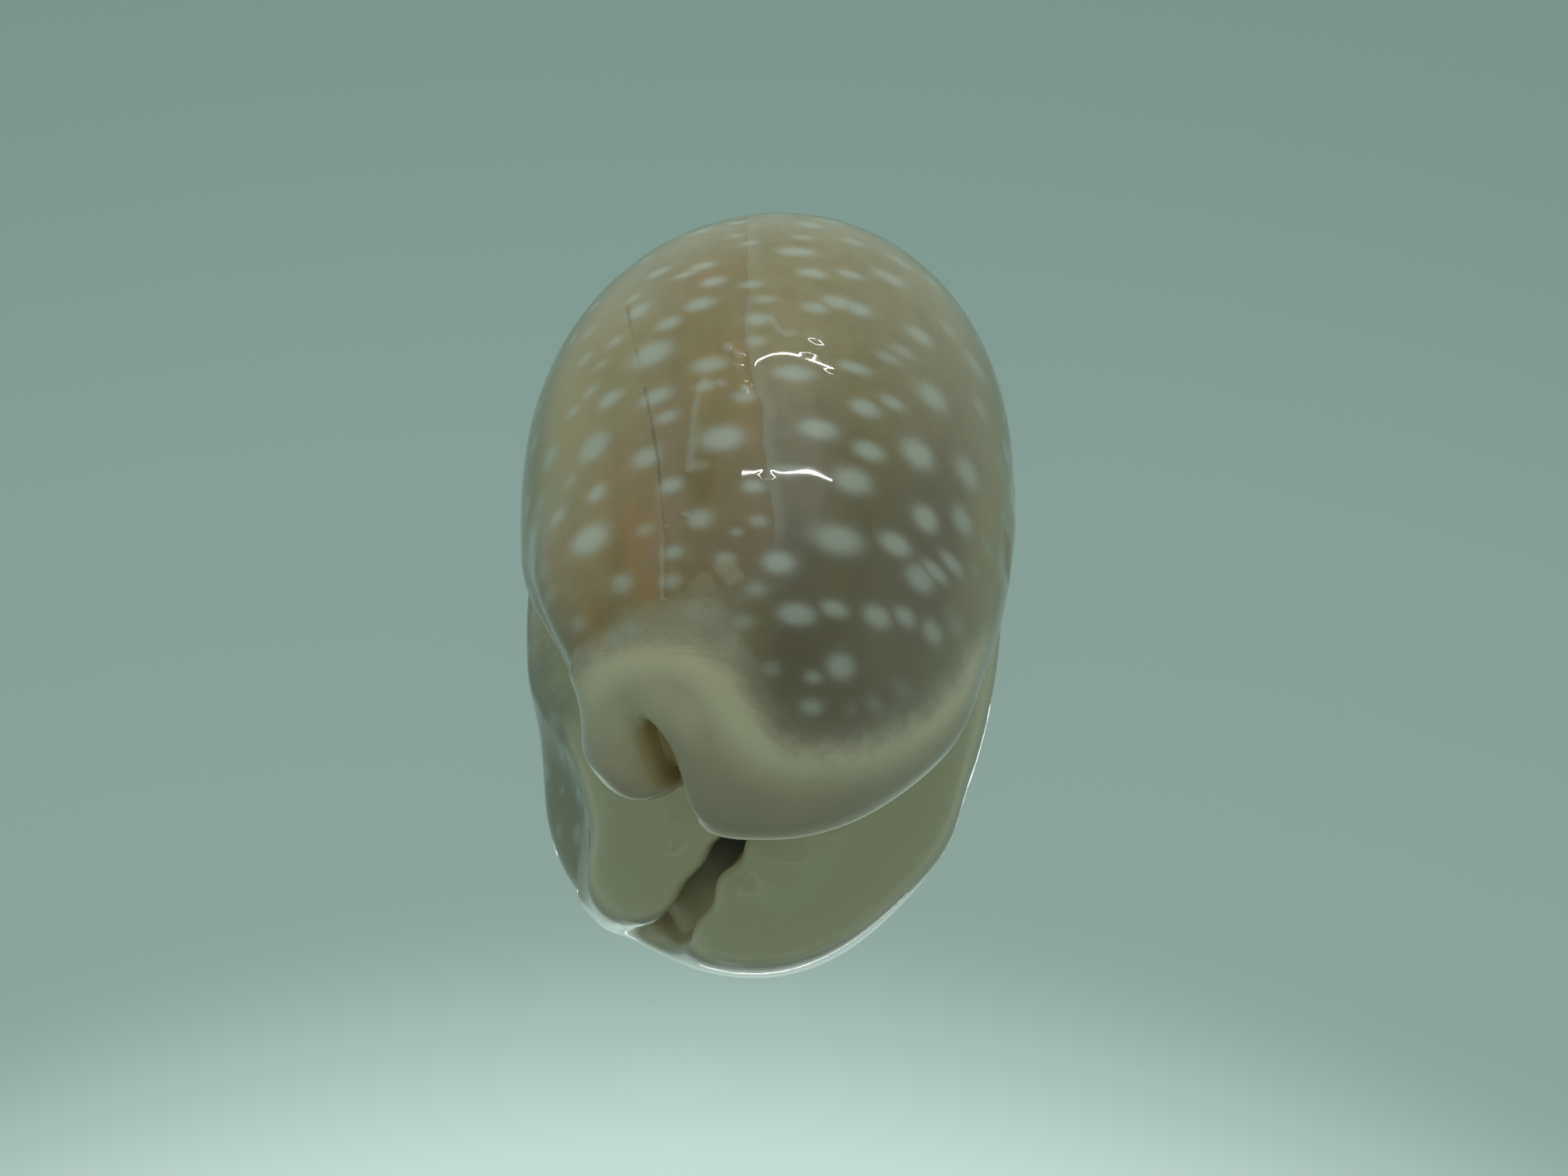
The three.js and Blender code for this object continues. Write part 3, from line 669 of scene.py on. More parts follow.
class Markings:
    """Everything that is drawn or raised on the finished skin, as values at its points."""

    def __init__(self, points, normals, faces, shift):
        self.points = points
        self.normals = normals
        self.shift = shift
        self.tree = BVHTree.FromPolygons(points.tolist(), faces)

    def pick(self, x, y):
        """Where a picture pixel falls on the skin, the skin's normal there and the distance."""
        place, normal, _, distance = self.tree.ray_cast(Vector(CAMERA.eye), Vector(CAMERA.ray(x, y)))
        if place is None:
            return None
        return np.array(place), np.array(normal), distance

    def line(self, pixels):
        hits = [self.pick(x, y) for x, y in pixels]
        return np.array([hit[0] for hit in hits if hit])

    def sideways_of(self, pixels):
        """Each point's distance in x from a line that runs along the shell."""
        line = self.line(pixels)
        line = line[np.argsort(line[:, 1])]
        return self.points[:, 0] - np.interp(self.points[:, 1], line[:, 1], line[:, 0])

    def stamp(self, field, place, normal, half_across, half_along, strength):
        """Adds one soft spot, wider across the shell than along it."""
        across = unit(np.cross(np.array((0.0, 1.0, 0.0)), normal))
        along = np.cross(normal, across)
        offset = self.points - place
        near = np.linalg.norm(offset, axis=1) < 3 * max(half_across, half_along)
        near &= self.normals @ normal > 0
        size = np.hypot(offset[near] @ across / half_across, offset[near] @ along / half_along)
        field[near] = np.maximum(field[near], strength * np.exp(-SPOT_FALL * size**SPOT_POWER))

    def stamp_seen(self, field, x, y, half_width, half_height, strength):
        """Adds one soft spot as the picture shows it, and tells where it is."""
        hit = self.pick(x, y)
        if hit is None:
            return None
        place, normal, distance = hit
        scale = distance / FOCAL_PIXELS
        across = unit(np.cross(np.array((0.0, 1.0, 0.0)), normal))
        along = np.cross(normal, across)
        half_across = SPOT_SPREAD * half_width * scale / max(abs(across @ CAMERA.right), LEAST_SLANT)
        half_along = SPOT_SPREAD * half_height * scale / max(abs(along @ CAMERA.up), LEAST_SLANT)
        self.stamp(field, place, normal, half_across, half_along, strength)
        return place

    def washes(self, rows):
        field = np.zeros(len(self.points))
        for row in rows:
            self.stamp_seen(field, *row)
        return field

    def spots(self, hidden_spots, gap, callus):
        """0 off the spots, rising to 1 in the middle of the strongest ones."""
        field = np.zeros(len(self.points))
        places = [self.stamp_seen(field, *row) for row in SPOTS]
        places = [place for place in places if place is not None]
        rng = np.random.default_rng(SEED)
        open_back = np.nonzero(callus < -1.0)[0]
        hidden = 0
        for index in rng.permutation(open_back):
            place, normal = self.points[index], self.normals[index]
            seen = normal @ unit(CAMERA.eye - place) > IN_PICTURE
            if seen or min(np.linalg.norm(np.array(places) - place, axis=1)) < gap:
                continue
            half = rng.uniform(*HIDDEN_SPOT_HALF)
            half_across = half * rng.uniform(*HIDDEN_SPOT_STRETCH)
            self.stamp(field, place, normal, half_across, half, rng.uniform(*HIDDEN_SPOT_STRENGTH))
            places.append(place)
            hidden += 1
            if hidden == hidden_spots:
                break
        return field

    def callus(self):
        """Positive on the thick pale callus, negative on the back, roughly in millimetres."""
        heading, rise = heading_and_rise(self.line(CALLUS_EDGE) - CALLUS_CENTRE)
        unseen = np.array(CALLUS_EDGE_UNSEEN)
        unseen_heading = np.radians(unseen[:, 0])
        half_width, half_length = CALLUS_HALF_SIZE
        reach = np.hypot(half_width * np.cos(unseen_heading), half_length * np.sin(unseen_heading))
        unseen_rise = np.arctan2(unseen[:, 1] - CALLUS_CENTRE[2], reach)
        heading = np.concatenate((heading, unseen_heading))
        rise = np.concatenate((rise, unseen_rise))
        offset = self.points - CALLUS_CENTRE
        own_heading, own_rise = heading_and_rise(offset)
        edge_rise = np.interp(own_heading, heading, rise, period=2 * math.pi)
        away = (edge_rise - own_rise) * np.linalg.norm(offset, axis=1)
        return away + CALLUS_WANDER * wander(self.points, 5.0, 3)

    def mantle(self):
        """Distance to the mantle line, positive on the outer lip's side."""
        return self.sideways_of(MANTLE_LINE) + 0.1 * wander(self.points, 4.0, 5)

    def turn(self):
        """The heading of each point round the hook's notch."""
        away = self.points - (HOOK_NOTCH + self.shift)
        return np.arctan2(away[:, 0], away[:, 1])

    def margin_ridge(self):
        """1 on the crisp edge between the sides and the base, fading away from it."""
        raw = self.points - self.shift
        gap = upper_field(raw) - base_field(raw)
        towards_hook = 0.15 + 0.85 * smoothstep(-self.points[:, 1], 6.0, 17.0)
        right_side = 1 - 0.7 * smoothstep(-self.points[:, 0], 9.0, 15.0)
        return np.exp(-((gap / MARGIN_RIDGE_WIDTH) ** 2)) * towards_hook * right_side

    def away_from(self, x, y, radius):
        """Each point's distance from a place in the picture, as a share of a radius in pixels."""
        place, _, distance = self.pick(x, y)
        return np.linalg.norm(self.points - place, axis=1) / (radius * distance / FOCAL_PIXELS)

    def away_from_line(self, pixels):
        return distance_to_line(self.points, self.line(pixels))

    def blisters(self):
        height = np.zeros(len(self.points))
        for x, y, radius, rise in BLISTERS:
            away = self.away_from(x, y, BLISTER_SPREAD * radius)
            height += BLISTER_RISE * rise * np.clip(1 - away**2, 0, 1) ** 2
        return height

    def cream(self):
        """The ragged patches of thin, crackled cream glaze."""
        field = np.zeros(len(self.points))
        for x, y, radius, strength in CREAM_PATCHES:
            away = self.away_from(x, y, radius) + 0.5 * wander(self.points, 1.3, 37)
            field = np.maximum(field, strength * (1 - smoothstep(away, 0.5, 1.3)))
        return field


def length(name, description, default):
    return FloatProperty(name=name, description=description, default=default * MM, unit="LENGTH")


def power(name, description, default):
    return FloatProperty(name=name, description=description, default=default, unit="POWER")


def colour(name, description, default):
    return FloatVectorProperty(name=name, description=description, default=default, subtype="COLOR", size=3)


class CowrieForm(bpy.types.PropertyGroup):
    teeth: IntProperty(name="Teeth", description="Teeth along each lip", default=24, min=10, max=40)
    steps_per_tooth: IntProperty(
        name="Steps per tooth", description="Rows of the mesh for each tooth", default=11, min=4, max=16
    )
    over_steps: IntProperty(
        name="Steps over the back", description="Columns of the mesh over the back", default=250, min=60, max=400
    )
    callus_rise: length("Callus rise", "How far the callus stands proud of the back", 0.35)
    mantle_step: length("Mantle step", "Height of the glaze step along the mantle line", 0.05)
    scar_depth: length("Scar depth", "Depth of the fine scars", 0.05)
    ripple: length("Ripple", "Height of the faint unevenness of the back", 0.018)


class CowrieMarkings(bpy.types.PropertyGroup):
    hidden_spots: IntProperty(
        name="Unseen spots",
        description="Most spots that are scattered where the picture shows none",
        default=HIDDEN_SPOTS,
    )
    spot_gap: length("Spot gap", "Least gap between scattered spots", HIDDEN_SPOT_GAP)


class CowrieColours(bpy.types.PropertyGroup):
    back: colour("Back", "Olive brown of the back", (0.253, 0.205, 0.098))
    warm: colour("Warm wash", "Orange brown beside the mantle line", (0.27, 0.15, 0.035))
    golden: colour("Golden wash", "Golden brown left of the mantle line", (0.19, 0.112, 0.01))
    pink: colour("Pink wash", "Dull pink round the scar", (0.255, 0.17, 0.1))
    # Partly the flanks' own pale straw, partly painted light on them.
    straw_and_painted_light: colour("Straw wash", "Pale straw along the flanks", (0.345, 0.262, 0.1))
    grey: colour("Grey end", "Grey low on the back, near the hook", (0.137, 0.105, 0.05))
    spots: colour("Spots", "Milky white of the spots", (0.37, 0.39, 0.33))
    milk: colour("Milky edge", "Thin milky glaze where the callus begins", (0.27, 0.255, 0.19))
    callus: colour("Callus", "Cream of the callus", (0.315, 0.262, 0.165))
    # Partly the collar's own pale cream, partly painted light on its top.
    crest_and_painted_light: colour("Crest", "Palest cream, along the top of the collar", (0.54, 0.48, 0.32))
    base: colour("Base", "Grey cream of the underside", (0.62, 0.52, 0.34))
    # The canals' own brown, made paler as painted light that stands in for light shining through the thin shell.
    canal: colour("Canal", "Brown inside the canals", (0.5, 0.385, 0.2))
    # Partly the hollow's own dark brown, partly painted shade deep in the slit.
    inside: colour("Inside", "Dark brown of the hollow", (0.13, 0.08, 0.04))


class CowrieStage(bpy.types.PropertyGroup):
    floor: colour("Floor", "Pale tint of the polished floor", (0.86, 0.93, 0.91))
    polish: FloatProperty(
        name="Polish", description="How much of the floor mirrors", default=0.96, min=0, max=1, subtype="FACTOR"
    )
    sky_below: colour("Light from below", "Light that the floor sends up to the shell", (0.27, 0.34, 0.3))
    sky_side: colour("Room sides", "Light from the sides of the room", (0.5, 0.6, 0.55))
    sky_middle: colour("Room middle", "Light from the middle of the walls", (0.22, 0.31, 0.283))
    sky_upper: colour("Room upper part", "Light from the upper walls", (0.315, 0.405, 0.375))
    sky_top: colour("Ceiling", "Light from the ceiling", (0.72, 0.86, 0.82))
    key_power: power("Soft light", "Power of the broad soft light", 1.0)
    strip_power: power("Strips", "Power of each thin strip light", 0.24)


def new_material(name):
    material = bpy.data.materials.new(name)
    material.use_nodes = True
    nodes = Nodes(material.node_tree)
    material.node_tree.nodes.clear()
    output = nodes.new("ShaderNodeOutputMaterial")
    shader = nodes.new("ShaderNodeBsdfPrincipled")
    nodes.set(output.inputs["Surface"], shader.outputs["BSDF"])
    return material, nodes, shader


class Nodes:
    """Short calls for the nodes that the materials are made of."""

    def __init__(self, tree):
        self.tree = tree

    def new(self, kind, **settings):
        node = self.tree.nodes.new(kind)
        for key, value in settings.items():
            setattr(node, key, value)
        return node

    def set(self, socket, value):
        if isinstance(value, bpy.types.NodeSocket):
            self.tree.links.new(value, socket)
        elif socket.type == "RGBA":
            socket.default_value = (*value, 1.0)
        else:
            socket.default_value = value

    def attribute(self, name):
        return self.new("ShaderNodeAttribute", attribute_name=name).outputs["Fac"]

    def maths(self, operation, *values):
        node = self.new("ShaderNodeMath", operation=operation)
        for socket, value in zip(node.inputs, values):
            self.set(socket, value)
        return node.outputs[0]

    def ramp(self, value, low, high, to_low=0.0, to_high=1.0):
        node = self.new("ShaderNodeMapRange", interpolation_type="SMOOTHSTEP")
        names = ("Value", "From Min", "From Max", "To Min", "To Max")
        for name, setting in zip(names, (value, low, high, to_low, to_high)):
            self.set(node.inputs[name], setting)
        return node.outputs["Result"]

    def times(self, first, second):
        return self.maths("MULTIPLY", first, second)

    def uneven(self, noise, share):
        """A noise as a swing to both sides of nothing."""
        return self.times(self.maths("SUBTRACT", noise, 0.5), share)

    def beside(self, value, rise, fall):
        """1 where the value lies between a rise and a fall."""
        return self.times(self.ramp(value, *rise), self.ramp(value, *fall))

    def mix(self, share, first, second, blend="MIX"):
        node = self.new("ShaderNodeMix", data_type="RGBA", blend_type=blend)
        for name, value in (("Factor", share), ("A", first), ("B", second)):
            self.set(node.inputs[name], value)
        return node.outputs["Result"]

    def noise(self, vector, scale, detail, roughness):
        node = self.new("ShaderNodeTexNoise")
        settings = (("Vector", vector), ("Scale", scale), ("Detail", detail), ("Roughness", roughness))
        for name, value in settings:
            self.set(node.inputs[name], value)
        return node.outputs["Fac"]


def darker(tint, share):
    return tuple(channel * share for channel in tint)


def glazed_back(nodes, colours, place, grain, mottle, mantle):
    """The back under its glaze, with its washes of colour, its lines and its spots."""
    clouds = nodes.noise(place, *CLOUDS)
    stretched = nodes.new("ShaderNodeMapping")
    stretched.inputs["Scale"].default_value = STREAK_STRETCH
    nodes.set(stretched.inputs["Vector"], place)
    streaks = nodes.noise(stretched.outputs["Vector"], *STREAKS)

    # Olive, with streaks and a fine mottle, and grey towards the hook.
    back = nodes.mix(nodes.ramp(clouds, 0.3, 0.72), colours.back, darker(colours.back, 0.9))
    back = nodes.mix(nodes.times(nodes.ramp(streaks, 0.42, 0.75), 0.45), back, darker(colours.back, 0.78))
    back = nodes.mix(nodes.ramp(mottle, 0.35, 0.7), back, MOTTLE_SHADE, "MULTIPLY")
    back = nodes.mix(nodes.attribute("grey"), back, colours.grey)

    # Warm washes left of the mantle line, then the pale flank wash (partly painted light), milk, and painted
    # shade over both sides.
    warm = nodes.mix(nodes.ramp(streaks, 0.35, 0.68), colours.warm, darker(colours.warm, 0.72))
    left = nodes.attribute("left")
    for wash, tint in (("warm", warm), ("golden", colours.golden), ("pink", colours.pink)):
        back = nodes.mix(nodes.times(nodes.attribute(wash), left), back, tint)
    # Pale flank wash: partly its own colour, partly painted light.
    back = nodes.mix(nodes.attribute("straw_and_painted_light"), back, colours.straw_and_painted_light)
    back = nodes.mix(nodes.attribute("milky"), back, colours.milk)
    # Painted shade, low on the back and on the flanks.
    back = nodes.mix(nodes.attribute("painted_shade"), back, PAINTED_SHADE_TINT, "MULTIPLY")

    # A pale band right of the mantle line, partly pale glaze and partly painted light on the raised side of the
    # glaze step; a thin dark edge left of it, partly the line's own colour and partly painted shadow at the foot
    # of the step; and the growth line.
    growth = nodes.attribute("growth")
    line = nodes.attribute("line")
    growth_reach = nodes.attribute("growth_reach")
    for value, rise, fall, reach, share, tint in (
        # Pale band: partly pale glaze, partly painted light on the raised side of the step.
        (mantle, (-0.05, 0.08), (1.2, 0.3), line, 0.3, colours.milk),
        # Dark edge: partly the line's own colour, partly painted shadow at the foot of the step.
        (mantle, (-1.1, -0.05), (0.03, -0.03), line, 0.22, darker(colours.warm, 0.6)),
        (growth, (-2.2, -0.05), (0.06, -0.06), growth_reach, 0.28, darker(colours.grey, 0.7)),
    ):
        band = nodes.times(nodes.beside(value, rise, fall), reach)
        back = nodes.mix(nodes.times(band, share), back, tint)

    # Milky spots with soft edges, the cream patch, the blisters, pale partly as painted light, the scars, and
    # the pale ridge, whose pale line is partly a painted glint.
    ragged = nodes.maths("ADD", nodes.attribute("spots"), nodes.uneven(grain, 0.06))
    scar_line = nodes.ramp(nodes.attribute("scar"), 0.24, 0.04)
    pale_line = nodes.ramp(nodes.attribute("pale"), 0.4, 0.08)
    for value, share, tint in (
        (nodes.ramp(ragged, -0.1, 1.05), 0.8, colours.spots),
        (nodes.attribute("cream"), 0.5, colours.callus),
        # Blisters: partly pale specks, partly painted light against the shade on their slopes.
        (nodes.attribute("blister_pale_and_painted_light"), 0.45, colours.spots),
        (scar_line, 0.5, darker(colours.grey, 0.4)),
        # The pale ridge's line: partly its own pale glaze, partly a painted glint.
        (pale_line, 0.3, colours.spots),
    ):
        back = nodes.mix(nodes.times(value, share), back, tint)
    return back, clouds


def frayed_callus(nodes, callus, reach, grain, mottle):
    """The depth of the callus, with fine hairs along its edge that point away from the notch."""
    hairs = nodes.new("ShaderNodeCombineXYZ")
    nodes.set(hairs.inputs["X"], nodes.attribute("turn"))
    nodes.set(hairs.inputs["Y"], nodes.times(callus, HAIR_LENGTH))
    feather = nodes.noise(hairs.outputs["Vector"], *HAIRS)
    fray = nodes.uneven(feather, nodes.times(reach, FRINGE_SHARE))
    fray = nodes.maths("ADD", fray, nodes.uneven(mottle, 1.6))
    fray = nodes.maths("ADD", fray, nodes.uneven(grain, 1.0))
    return nodes.maths("ADD", callus, fray)


def shell_material(colours):
    material, nodes, shader = new_material("cowrie_glaze")
    place = nodes.new("ShaderNodeTexCoord").outputs["Object"]
    callus = nodes.attribute("callus")
    deep = nodes.attribute("deep")
    grain = nodes.noise(place, *GRAIN)
    mottle = nodes.noise(place, *MOTTLE)
    back, clouds = glazed_back(nodes, colours, place, grain, mottle, nodes.attribute("mantle"))

    # The callus: cream, palest along the collar's top and beside the notch, partly as painted light, greyer
    # under the shell, with a feathered edge.
    thick = nodes.mix(nodes.ramp(clouds, 0.3, 0.75), colours.callus, darker(colours.callus, 0.93))
    thick = nodes.mix(nodes.attribute("base"), thick, colours.base)
    # Palest along the collar's top and in the funnel: partly own cream, partly painted light.
    thick = nodes.mix(nodes.attribute("crest_and_painted_light"), thick, colours.crest_and_painted_light)
    reach = nodes.attribute("fringe")
    frayed = frayed_callus(nodes, callus, reach, grain, mottle)
    skin = nodes.mix(nodes.times(nodes.ramp(frayed, -2.6, 0.4), 0.42), back, colours.milk)
    thickness = nodes.maths("MULTIPLY_ADD", reach, -0.4, frayed)
    skin = nodes.mix(nodes.ramp(thickness, -1.4, 2.0), skin, thick)
    # The canals' brown, made paler as painted light through the thin shell.
    skin = nodes.mix(deep, skin, colours.canal)
    # Darker deeper in the slit: partly the hollow's own brown, partly painted shade.
    skin = nodes.mix(nodes.attribute("dark"), skin, colours.inside)
    nodes.set(shader.inputs["Base Color"], skin)

    # A glossy coat, thin inside the slit.
    shader.inputs["Roughness"].default_value = 0.45
    shader.inputs["IOR"].default_value = 1.5
    nodes.set(shader.inputs["Coat Weight"], nodes.maths("MULTIPLY_ADD", deep, -0.85, 0.9))
    shader.inputs["Coat Roughness"].default_value = 0.035
    shader.inputs["Coat IOR"].default_value = 1.5
    bump = nodes.new("ShaderNodeBump")
    bump.inputs["Strength"].default_value = GLAZE_BUMP_STRENGTH
    bump.inputs["Distance"].default_value = GLAZE_BUMP_HEIGHT
    nodes.set(bump.inputs["Height"], nodes.noise(place, *GLAZE_BUMP))
    nodes.set(shader.inputs["Normal"], bump.outputs["Normal"])
    return material


def store(mesh, name, values):
    attribute = mesh.attributes.new(name, "FLOAT", "POINT")
    attribute.data.foreach_set("value", np.ascontiguousarray(values, dtype=np.float32))


def set_points(mesh, points):
    mesh.vertices.foreach_set("co", np.ascontiguousarray(points * MM, dtype=np.float32).ravel())
    mesh.update()


def point_normals(mesh):
    normals = np.empty(len(mesh.vertices) * 3, dtype=np.float32)
    mesh.vertex_normals.foreach_get("vector", normals)
    return normals.reshape(-1, 3).astype(float)


def link(piece):
    bpy.context.scene.collection.objects.link(piece)
    return piece


class COWRIE_OT_shell(bpy.types.Operator):
    """Models the shell's skin, inside and out, with its markings"""

    bl_idname = "cowrie.shell"
    bl_label = "Shell"

    def execute(self, context):
        form = context.scene.cowrie_form
        marks = context.scene.cowrie_markings
        grid = ShellGrid(form.teeth, form.steps_per_tooth, form.over_steps)
        faces, keys = grid.faces()
        rows, places = keys[:, 0], keys[:, 1]
        points = grid.points[rows, places]
        outside = grid.outside[rows, places]
        low, high = (np.array(corner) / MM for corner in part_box(SHELL_NODE))
        shift = (low + high) / 2 - (points.min(0) + points.max(0)) / 2
        shift[2] = low[2] - points[:, 2].min()
        points = points + shift

        mesh = bpy.data.meshes.new("cowrie_shell_skin")
        mesh.from_pydata((points * MM).tolist(), [], faces)
        mesh.validate()
        normals = point_normals(mesh)
        drawn = Markings(points, normals, faces, shift)
        callus = drawn.callus()
        mantle = drawn.mantle()
        line_reach = smoothstep(points[:, 1], MANTLE_LINE_END, MANTLE_LINE_END + MANTLE_LINE_FADE)
        scar = drawn.away_from_line(SCAR_LINE) + 0.04 * wander(points, 1.5, 17)
        second_scar = drawn.away_from_line(SECOND_SCAR_LINE) + 0.08 * wander(points, 1.0, 19)
        pale = drawn.away_from_line(PALE_RIDGE_LINE)
        trail = drawn.away_from_line(TRAIL_LINE)
        # Along the collar's top, where the cream is partly painted light.
        crest_and_painted_light = np.exp(-((drawn.away_from_line(CREST_LINE) / CREST_WIDTH) ** 2))
        blisters = drawn.blisters()

        # Low relief, in millimetres.
        back = smoothstep(-callus, -0.5, 1.5)
        height = points[:, 2]
        relief = form.callus_rise / MM * smoothstep(callus, -1.5, 2.0) * smoothstep(height, 1.0, 5.0)
        relief += form.mantle_step / MM * smoothstep(mantle, -0.25, 0.25) * line_reach * back
        relief -= form.scar_depth / MM * (1 - smoothstep(scar, 0.05, 0.4)) * back
        ragged_pale = pale + 0.15 * wander(points, 1.2, 23)
        relief += PALE_RIDGE_HEIGHT * (1 - smoothstep(ragged_pale, 0.1, 0.6)) * back
        relief += TRAIL_HEIGHT * (1 - smoothstep(trail, 0.1, 0.55))
        relief += blisters
        relief += form.ripple / MM * (wander(points, 6.0, 11) + 0.2 * wander(points, 1.6, 29)) * back
        relief += MARGIN_RIDGE_HEIGHT * drawn.margin_ridge()
        relief += TOOTH_RIDGE_HEIGHT * grid.ridge[rows, places] * smoothstep(height, -0.1, 0.4)
        points = points + normals * (relief * outside)[:, None]
        points[:, 2] = np.maximum(points[:, 2], low[2])
        set_points(mesh, points)

        # What the glaze's material reads at each point.
        x, y = points[:, 0], points[:, 1]
        sunk = 1 - outside
        depth = -outside_field(points - shift)
        from_notch = np.linalg.norm(points - shift - HOOK_NOTCH, axis=1)
        faded = 0.12 * np.clip(wander(points, 5.0, 31) + 0.35, 0, 1)
        values = {
            "spots": drawn.spots(marks.hidden_spots, marks.spot_gap / MM, callus),
            "callus": callus,
            "mantle": mantle,
            "line": line_reach * back,
            "cream": drawn.cream(),
            # Paleness of the blisters: partly their own, partly painted light.
            "blister_pale_and_painted_light": np.clip(blisters / BLISTER_WHOLE, 0, 1),
            "scar": np.minimum(scar, second_scar + 0.07) + faded,
            "pale": np.minimum(pale, trail),
            # Painted light in the funnel beside the notch, added to the collar's top line.
            "crest_and_painted_light": np.maximum(crest_and_painted_light, drawn.washes(FUNNEL_PAINTED_LIGHT)),
            "turn": drawn.turn(),
            "fringe": mix(*FRINGE, smoothstep(from_notch, 9.0, 18.0)),
            "left": smoothstep(-mantle, -0.08, 0.08),
            "growth": drawn.sideways_of(GROWTH_LINE),
            "growth_reach": 1 - smoothstep(y, -9.0, -3.0),
            "deep": sunk * smoothstep(depth, 0.0, 1.7),
            # Darker the deeper in the slit and the farther from the hook's notch: partly own brown, partly
            # painted shade.
            "dark": sunk * smoothstep(depth, 0.9, 2.4) * smoothstep(from_notch, 7.0, 18.0),
            "base": smoothstep(-normals[:, 2], 0.05, 0.55),
            "grey": smoothstep(-y + 0.3 * x, -4.0, 19.0) * smoothstep(mantle, -2.5, 1.5),
        }
        # The washes include a painted shade and a flank wash that is partly painted light.
        values.update({name: drawn.washes(rows) for name, rows in WASHES.items()})
        for name, value in values.items():
            store(mesh, name, value)
        mesh.shade_smooth()
        mesh.materials.append(shell_material(context.scene.cowrie_colours))
        shell = link(bpy.data.objects.new("cowrie_shell_skin", mesh))
        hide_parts(SHELL_NODE)
        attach(shell, "root")
        return {"FINISHED"}


def plane(name, half_size, height):
    mesh = bpy.data.meshes.new(name)
    corners = ((-1, -1), (1, -1), (1, 1), (-1, 1))
    mesh.from_pydata([(x * half_size, y * half_size, height) for x, y in corners], [], [(0, 1, 2, 3)])
    return link(bpy.data.objects.new(name, mesh))


def area_light(name, line, power, receivers):
    """A flat light as long as its line, from start to stop, turned to face the shell."""
    start, stop = Vector(line[0]), Vector(line[1])
    middle = (start + stop) / 2
    along = (stop - start).normalized()
    back = middle - Vector(LIGHT_TARGET)
    back = (back - along * back.dot(along)).normalized()
    light = bpy.data.lights.new(name, "AREA")
    light.shape = "RECTANGLE"
    light.size = (stop - start).length
    light.size_y = line[2]
    light.energy = power
    lamp = link(bpy.data.objects.new(name, light))
    columns = Matrix((along, back.cross(along), back)).transposed().to_4x4()
    lamp.matrix_world = Matrix.Translation(middle) @ columns
    lamp.light_linking.receiver_collection = receivers
    return lamp


def room(settings):
    world = bpy.data.worlds.new("studio_room")
    bpy.context.scene.world = world
    world.use_nodes = True
    nodes = Nodes(world.node_tree)
    world.node_tree.nodes.clear()
    output = nodes.new("ShaderNodeOutputWorld")
    background = nodes.new("ShaderNodeBackground")
    split = nodes.new("ShaderNodeSeparateXYZ")
    nodes.set(split.inputs[0], nodes.new("ShaderNodeTexCoord").outputs["Generated"])
    height = split.outputs["Z"]
    # From the sides up to the ceiling, then the darker wall in front, and the light from below.
    sky = settings.sky_side
    front = nodes.ramp(split.outputs["Y"], -0.2, -0.8, 0.0, 0.45)
    for share, tint in (
        (nodes.ramp(height, 0.3, 0.68), settings.sky_middle),
        (nodes.ramp(height, 0.68, 0.9), settings.sky_upper),
        (nodes.ramp(height, 0.868, 0.918), settings.sky_top),
        (front, darker(settings.sky_middle, 0.6)),
        (nodes.ramp(height, 0.0, -0.1), settings.sky_below),
    ):
        sky = nodes.mix(share, sky, tint)
    nodes.set(background.inputs["Color"], sky)
    nodes.set(output.inputs["Surface"], background.outputs[0])


def floor_material(settings):
    """Polished and pale. It is clear from below and to scattered light, so that the base is well lit."""
    material, nodes, shader = new_material("polished_floor")
    shader.inputs["Base Color"].default_value = (*settings.floor, 1.0)
    shader.inputs["Metallic"].default_value = settings.polish
    shader.inputs["Roughness"].default_value = FLOOR_ROUGHNESS
    clear = nodes.new("ShaderNodeBsdfTransparent")
    blend = nodes.new("ShaderNodeMixShader")
    from_below = nodes.new("ShaderNodeNewGeometry").outputs["Backfacing"]
    scattered = nodes.new("ShaderNodeLightPath").outputs["Is Diffuse Ray"]
    nodes.set(blend.inputs[0], nodes.maths("MAXIMUM", from_below, scattered))
    nodes.set(blend.inputs[1], shader.outputs["BSDF"])
    nodes.set(blend.inputs[2], clear.outputs["BSDF"])
    nodes.set(material.node_tree.nodes["Material Output"].inputs["Surface"], blend.outputs[0])
    return material


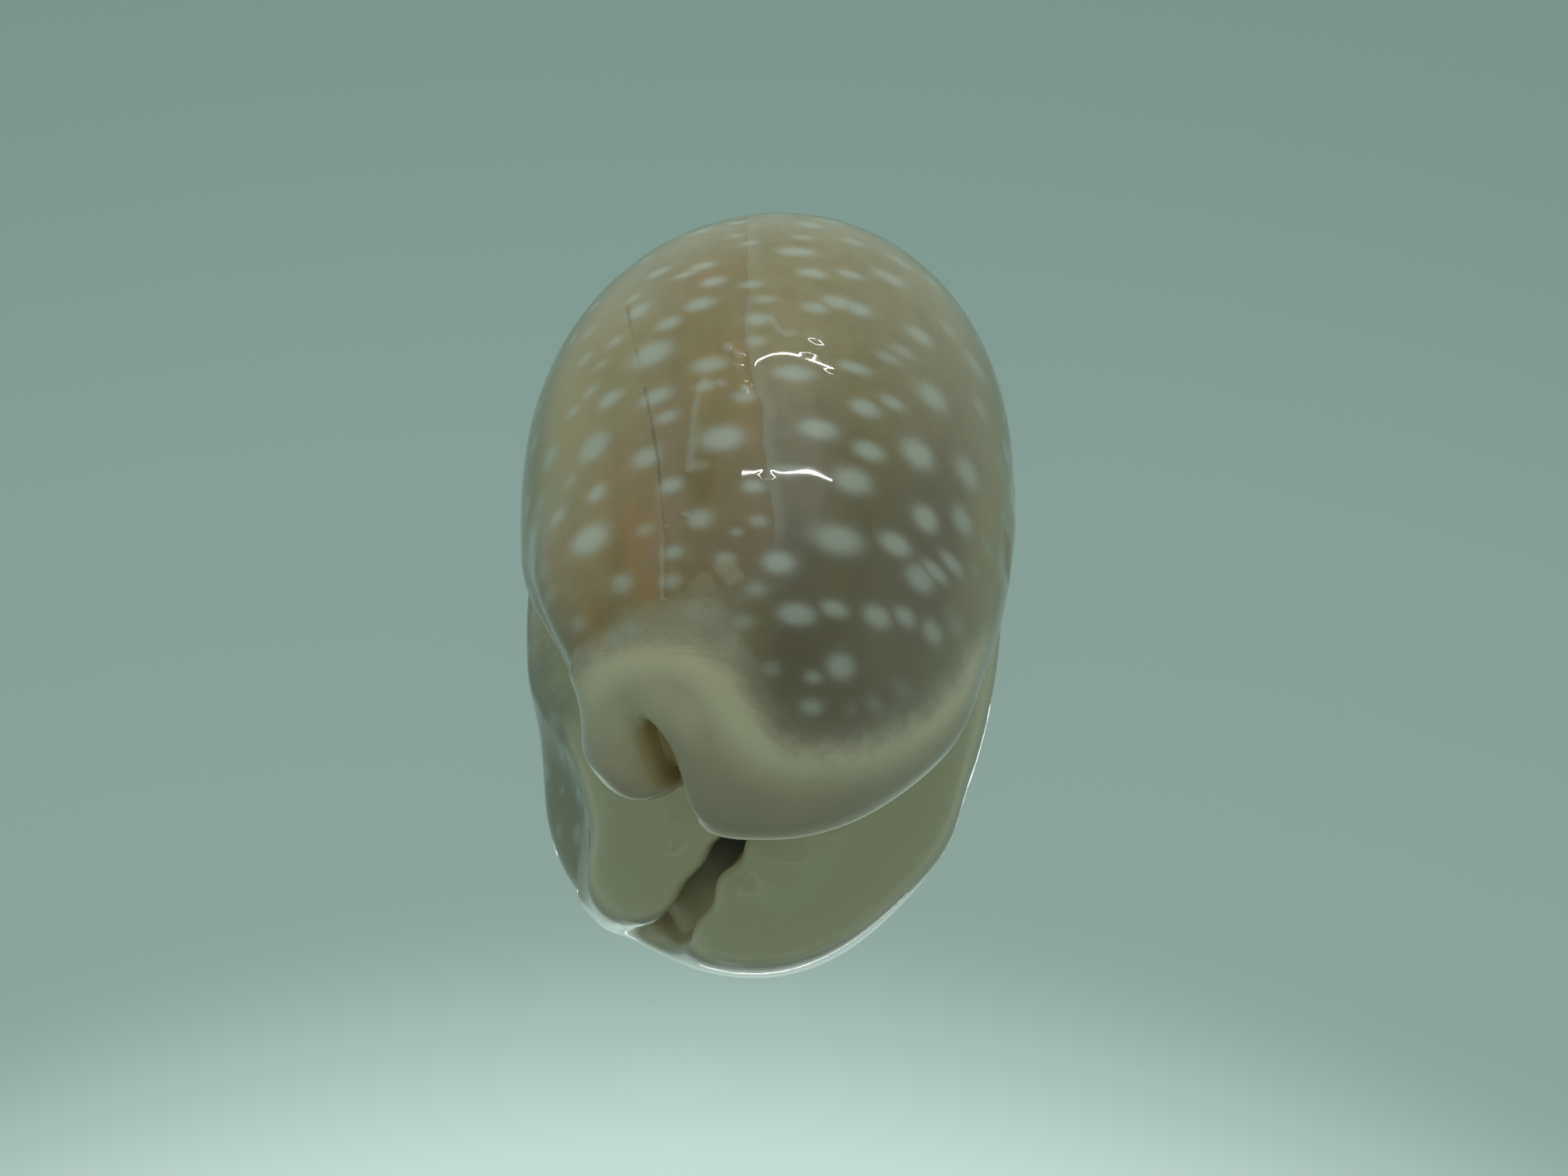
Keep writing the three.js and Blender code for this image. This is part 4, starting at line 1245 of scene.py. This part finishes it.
class COWRIE_OT_stage(bpy.types.Operator):
    """Sets up the pale floor, the soft room light, the strip lights and the camera"""

    bl_idname = "cowrie.stage"
    bl_label = "Stage"

    def execute(self, context):
        settings = context.scene.cowrie_stage
        floor = plane("pale_floor", FLOOR_HALF_SIZE, -FLOOR_GAP)
        floor.data.materials.append(floor_material(settings))
        room(settings)
        receivers = bpy.data.collections.new("lit_by_lamps")
        receivers.objects.link(bpy.data.objects["cowrie_shell_skin"])
        soft = area_light("soft_light", SOFT_LIGHT, settings.key_power, receivers)
        soft.visible_glossy = False
        for name, line in STRIPS.items():
            area_light(name, line, settings.strip_power, receivers)
        camera_data = bpy.data.cameras.new("picture_camera")
        camera_data.sensor_width = SENSOR_WIDTH
        camera_data.lens = FOCAL_PIXELS / PICTURE_WIDTH * SENSOR_WIDTH
        camera_data.clip_start = CLIP_START
        camera = link(bpy.data.objects.new("picture_camera", camera_data))
        camera.matrix_world = CAMERA.matrix()
        context.scene.camera = camera
        context.scene.view_settings.view_transform = "Standard"
        return {"FINISHED"}


class COWRIE_PT_panel(bpy.types.Panel):
    """Lists the cowrie's settings and the steps that build it"""

    bl_idname = "COWRIE_PT_panel"
    bl_label = "Camel Cowrie"
    bl_space_type = "VIEW_3D"
    bl_region_type = "UI"
    bl_category = "Cowrie"

    def draw(self, context):
        scene = context.scene
        for settings in (scene.cowrie_form, scene.cowrie_markings, scene.cowrie_colours, scene.cowrie_stage):
            box = self.layout.box()
            for name in settings.bl_rna.properties.keys():
                if name not in ("rna_type", "name"):
                    box.prop(settings, name)
        for operator in OPERATORS:
            self.layout.operator(operator.bl_idname)


SETTINGS = {
    "cowrie_form": CowrieForm,
    "cowrie_markings": CowrieMarkings,
    "cowrie_colours": CowrieColours,
    "cowrie_stage": CowrieStage,
}
OPERATORS = (COWRIE_OT_shell, COWRIE_OT_stage)
CLASSES = (*SETTINGS.values(), *OPERATORS, COWRIE_PT_panel)


def register():
    for item in CLASSES:
        bpy.utils.register_class(item)
    for name, group in SETTINGS.items():
        setattr(bpy.types.Scene, name, PointerProperty(type=group))


def unregister():
    for name in SETTINGS:
        delattr(bpy.types.Scene, name)
    for item in reversed(CLASSES):
        bpy.utils.unregister_class(item)


def main():
    register()
    bpy.ops.cowrie.shell()
    bpy.ops.cowrie.stage()


if __name__ == "__main__":
    main()
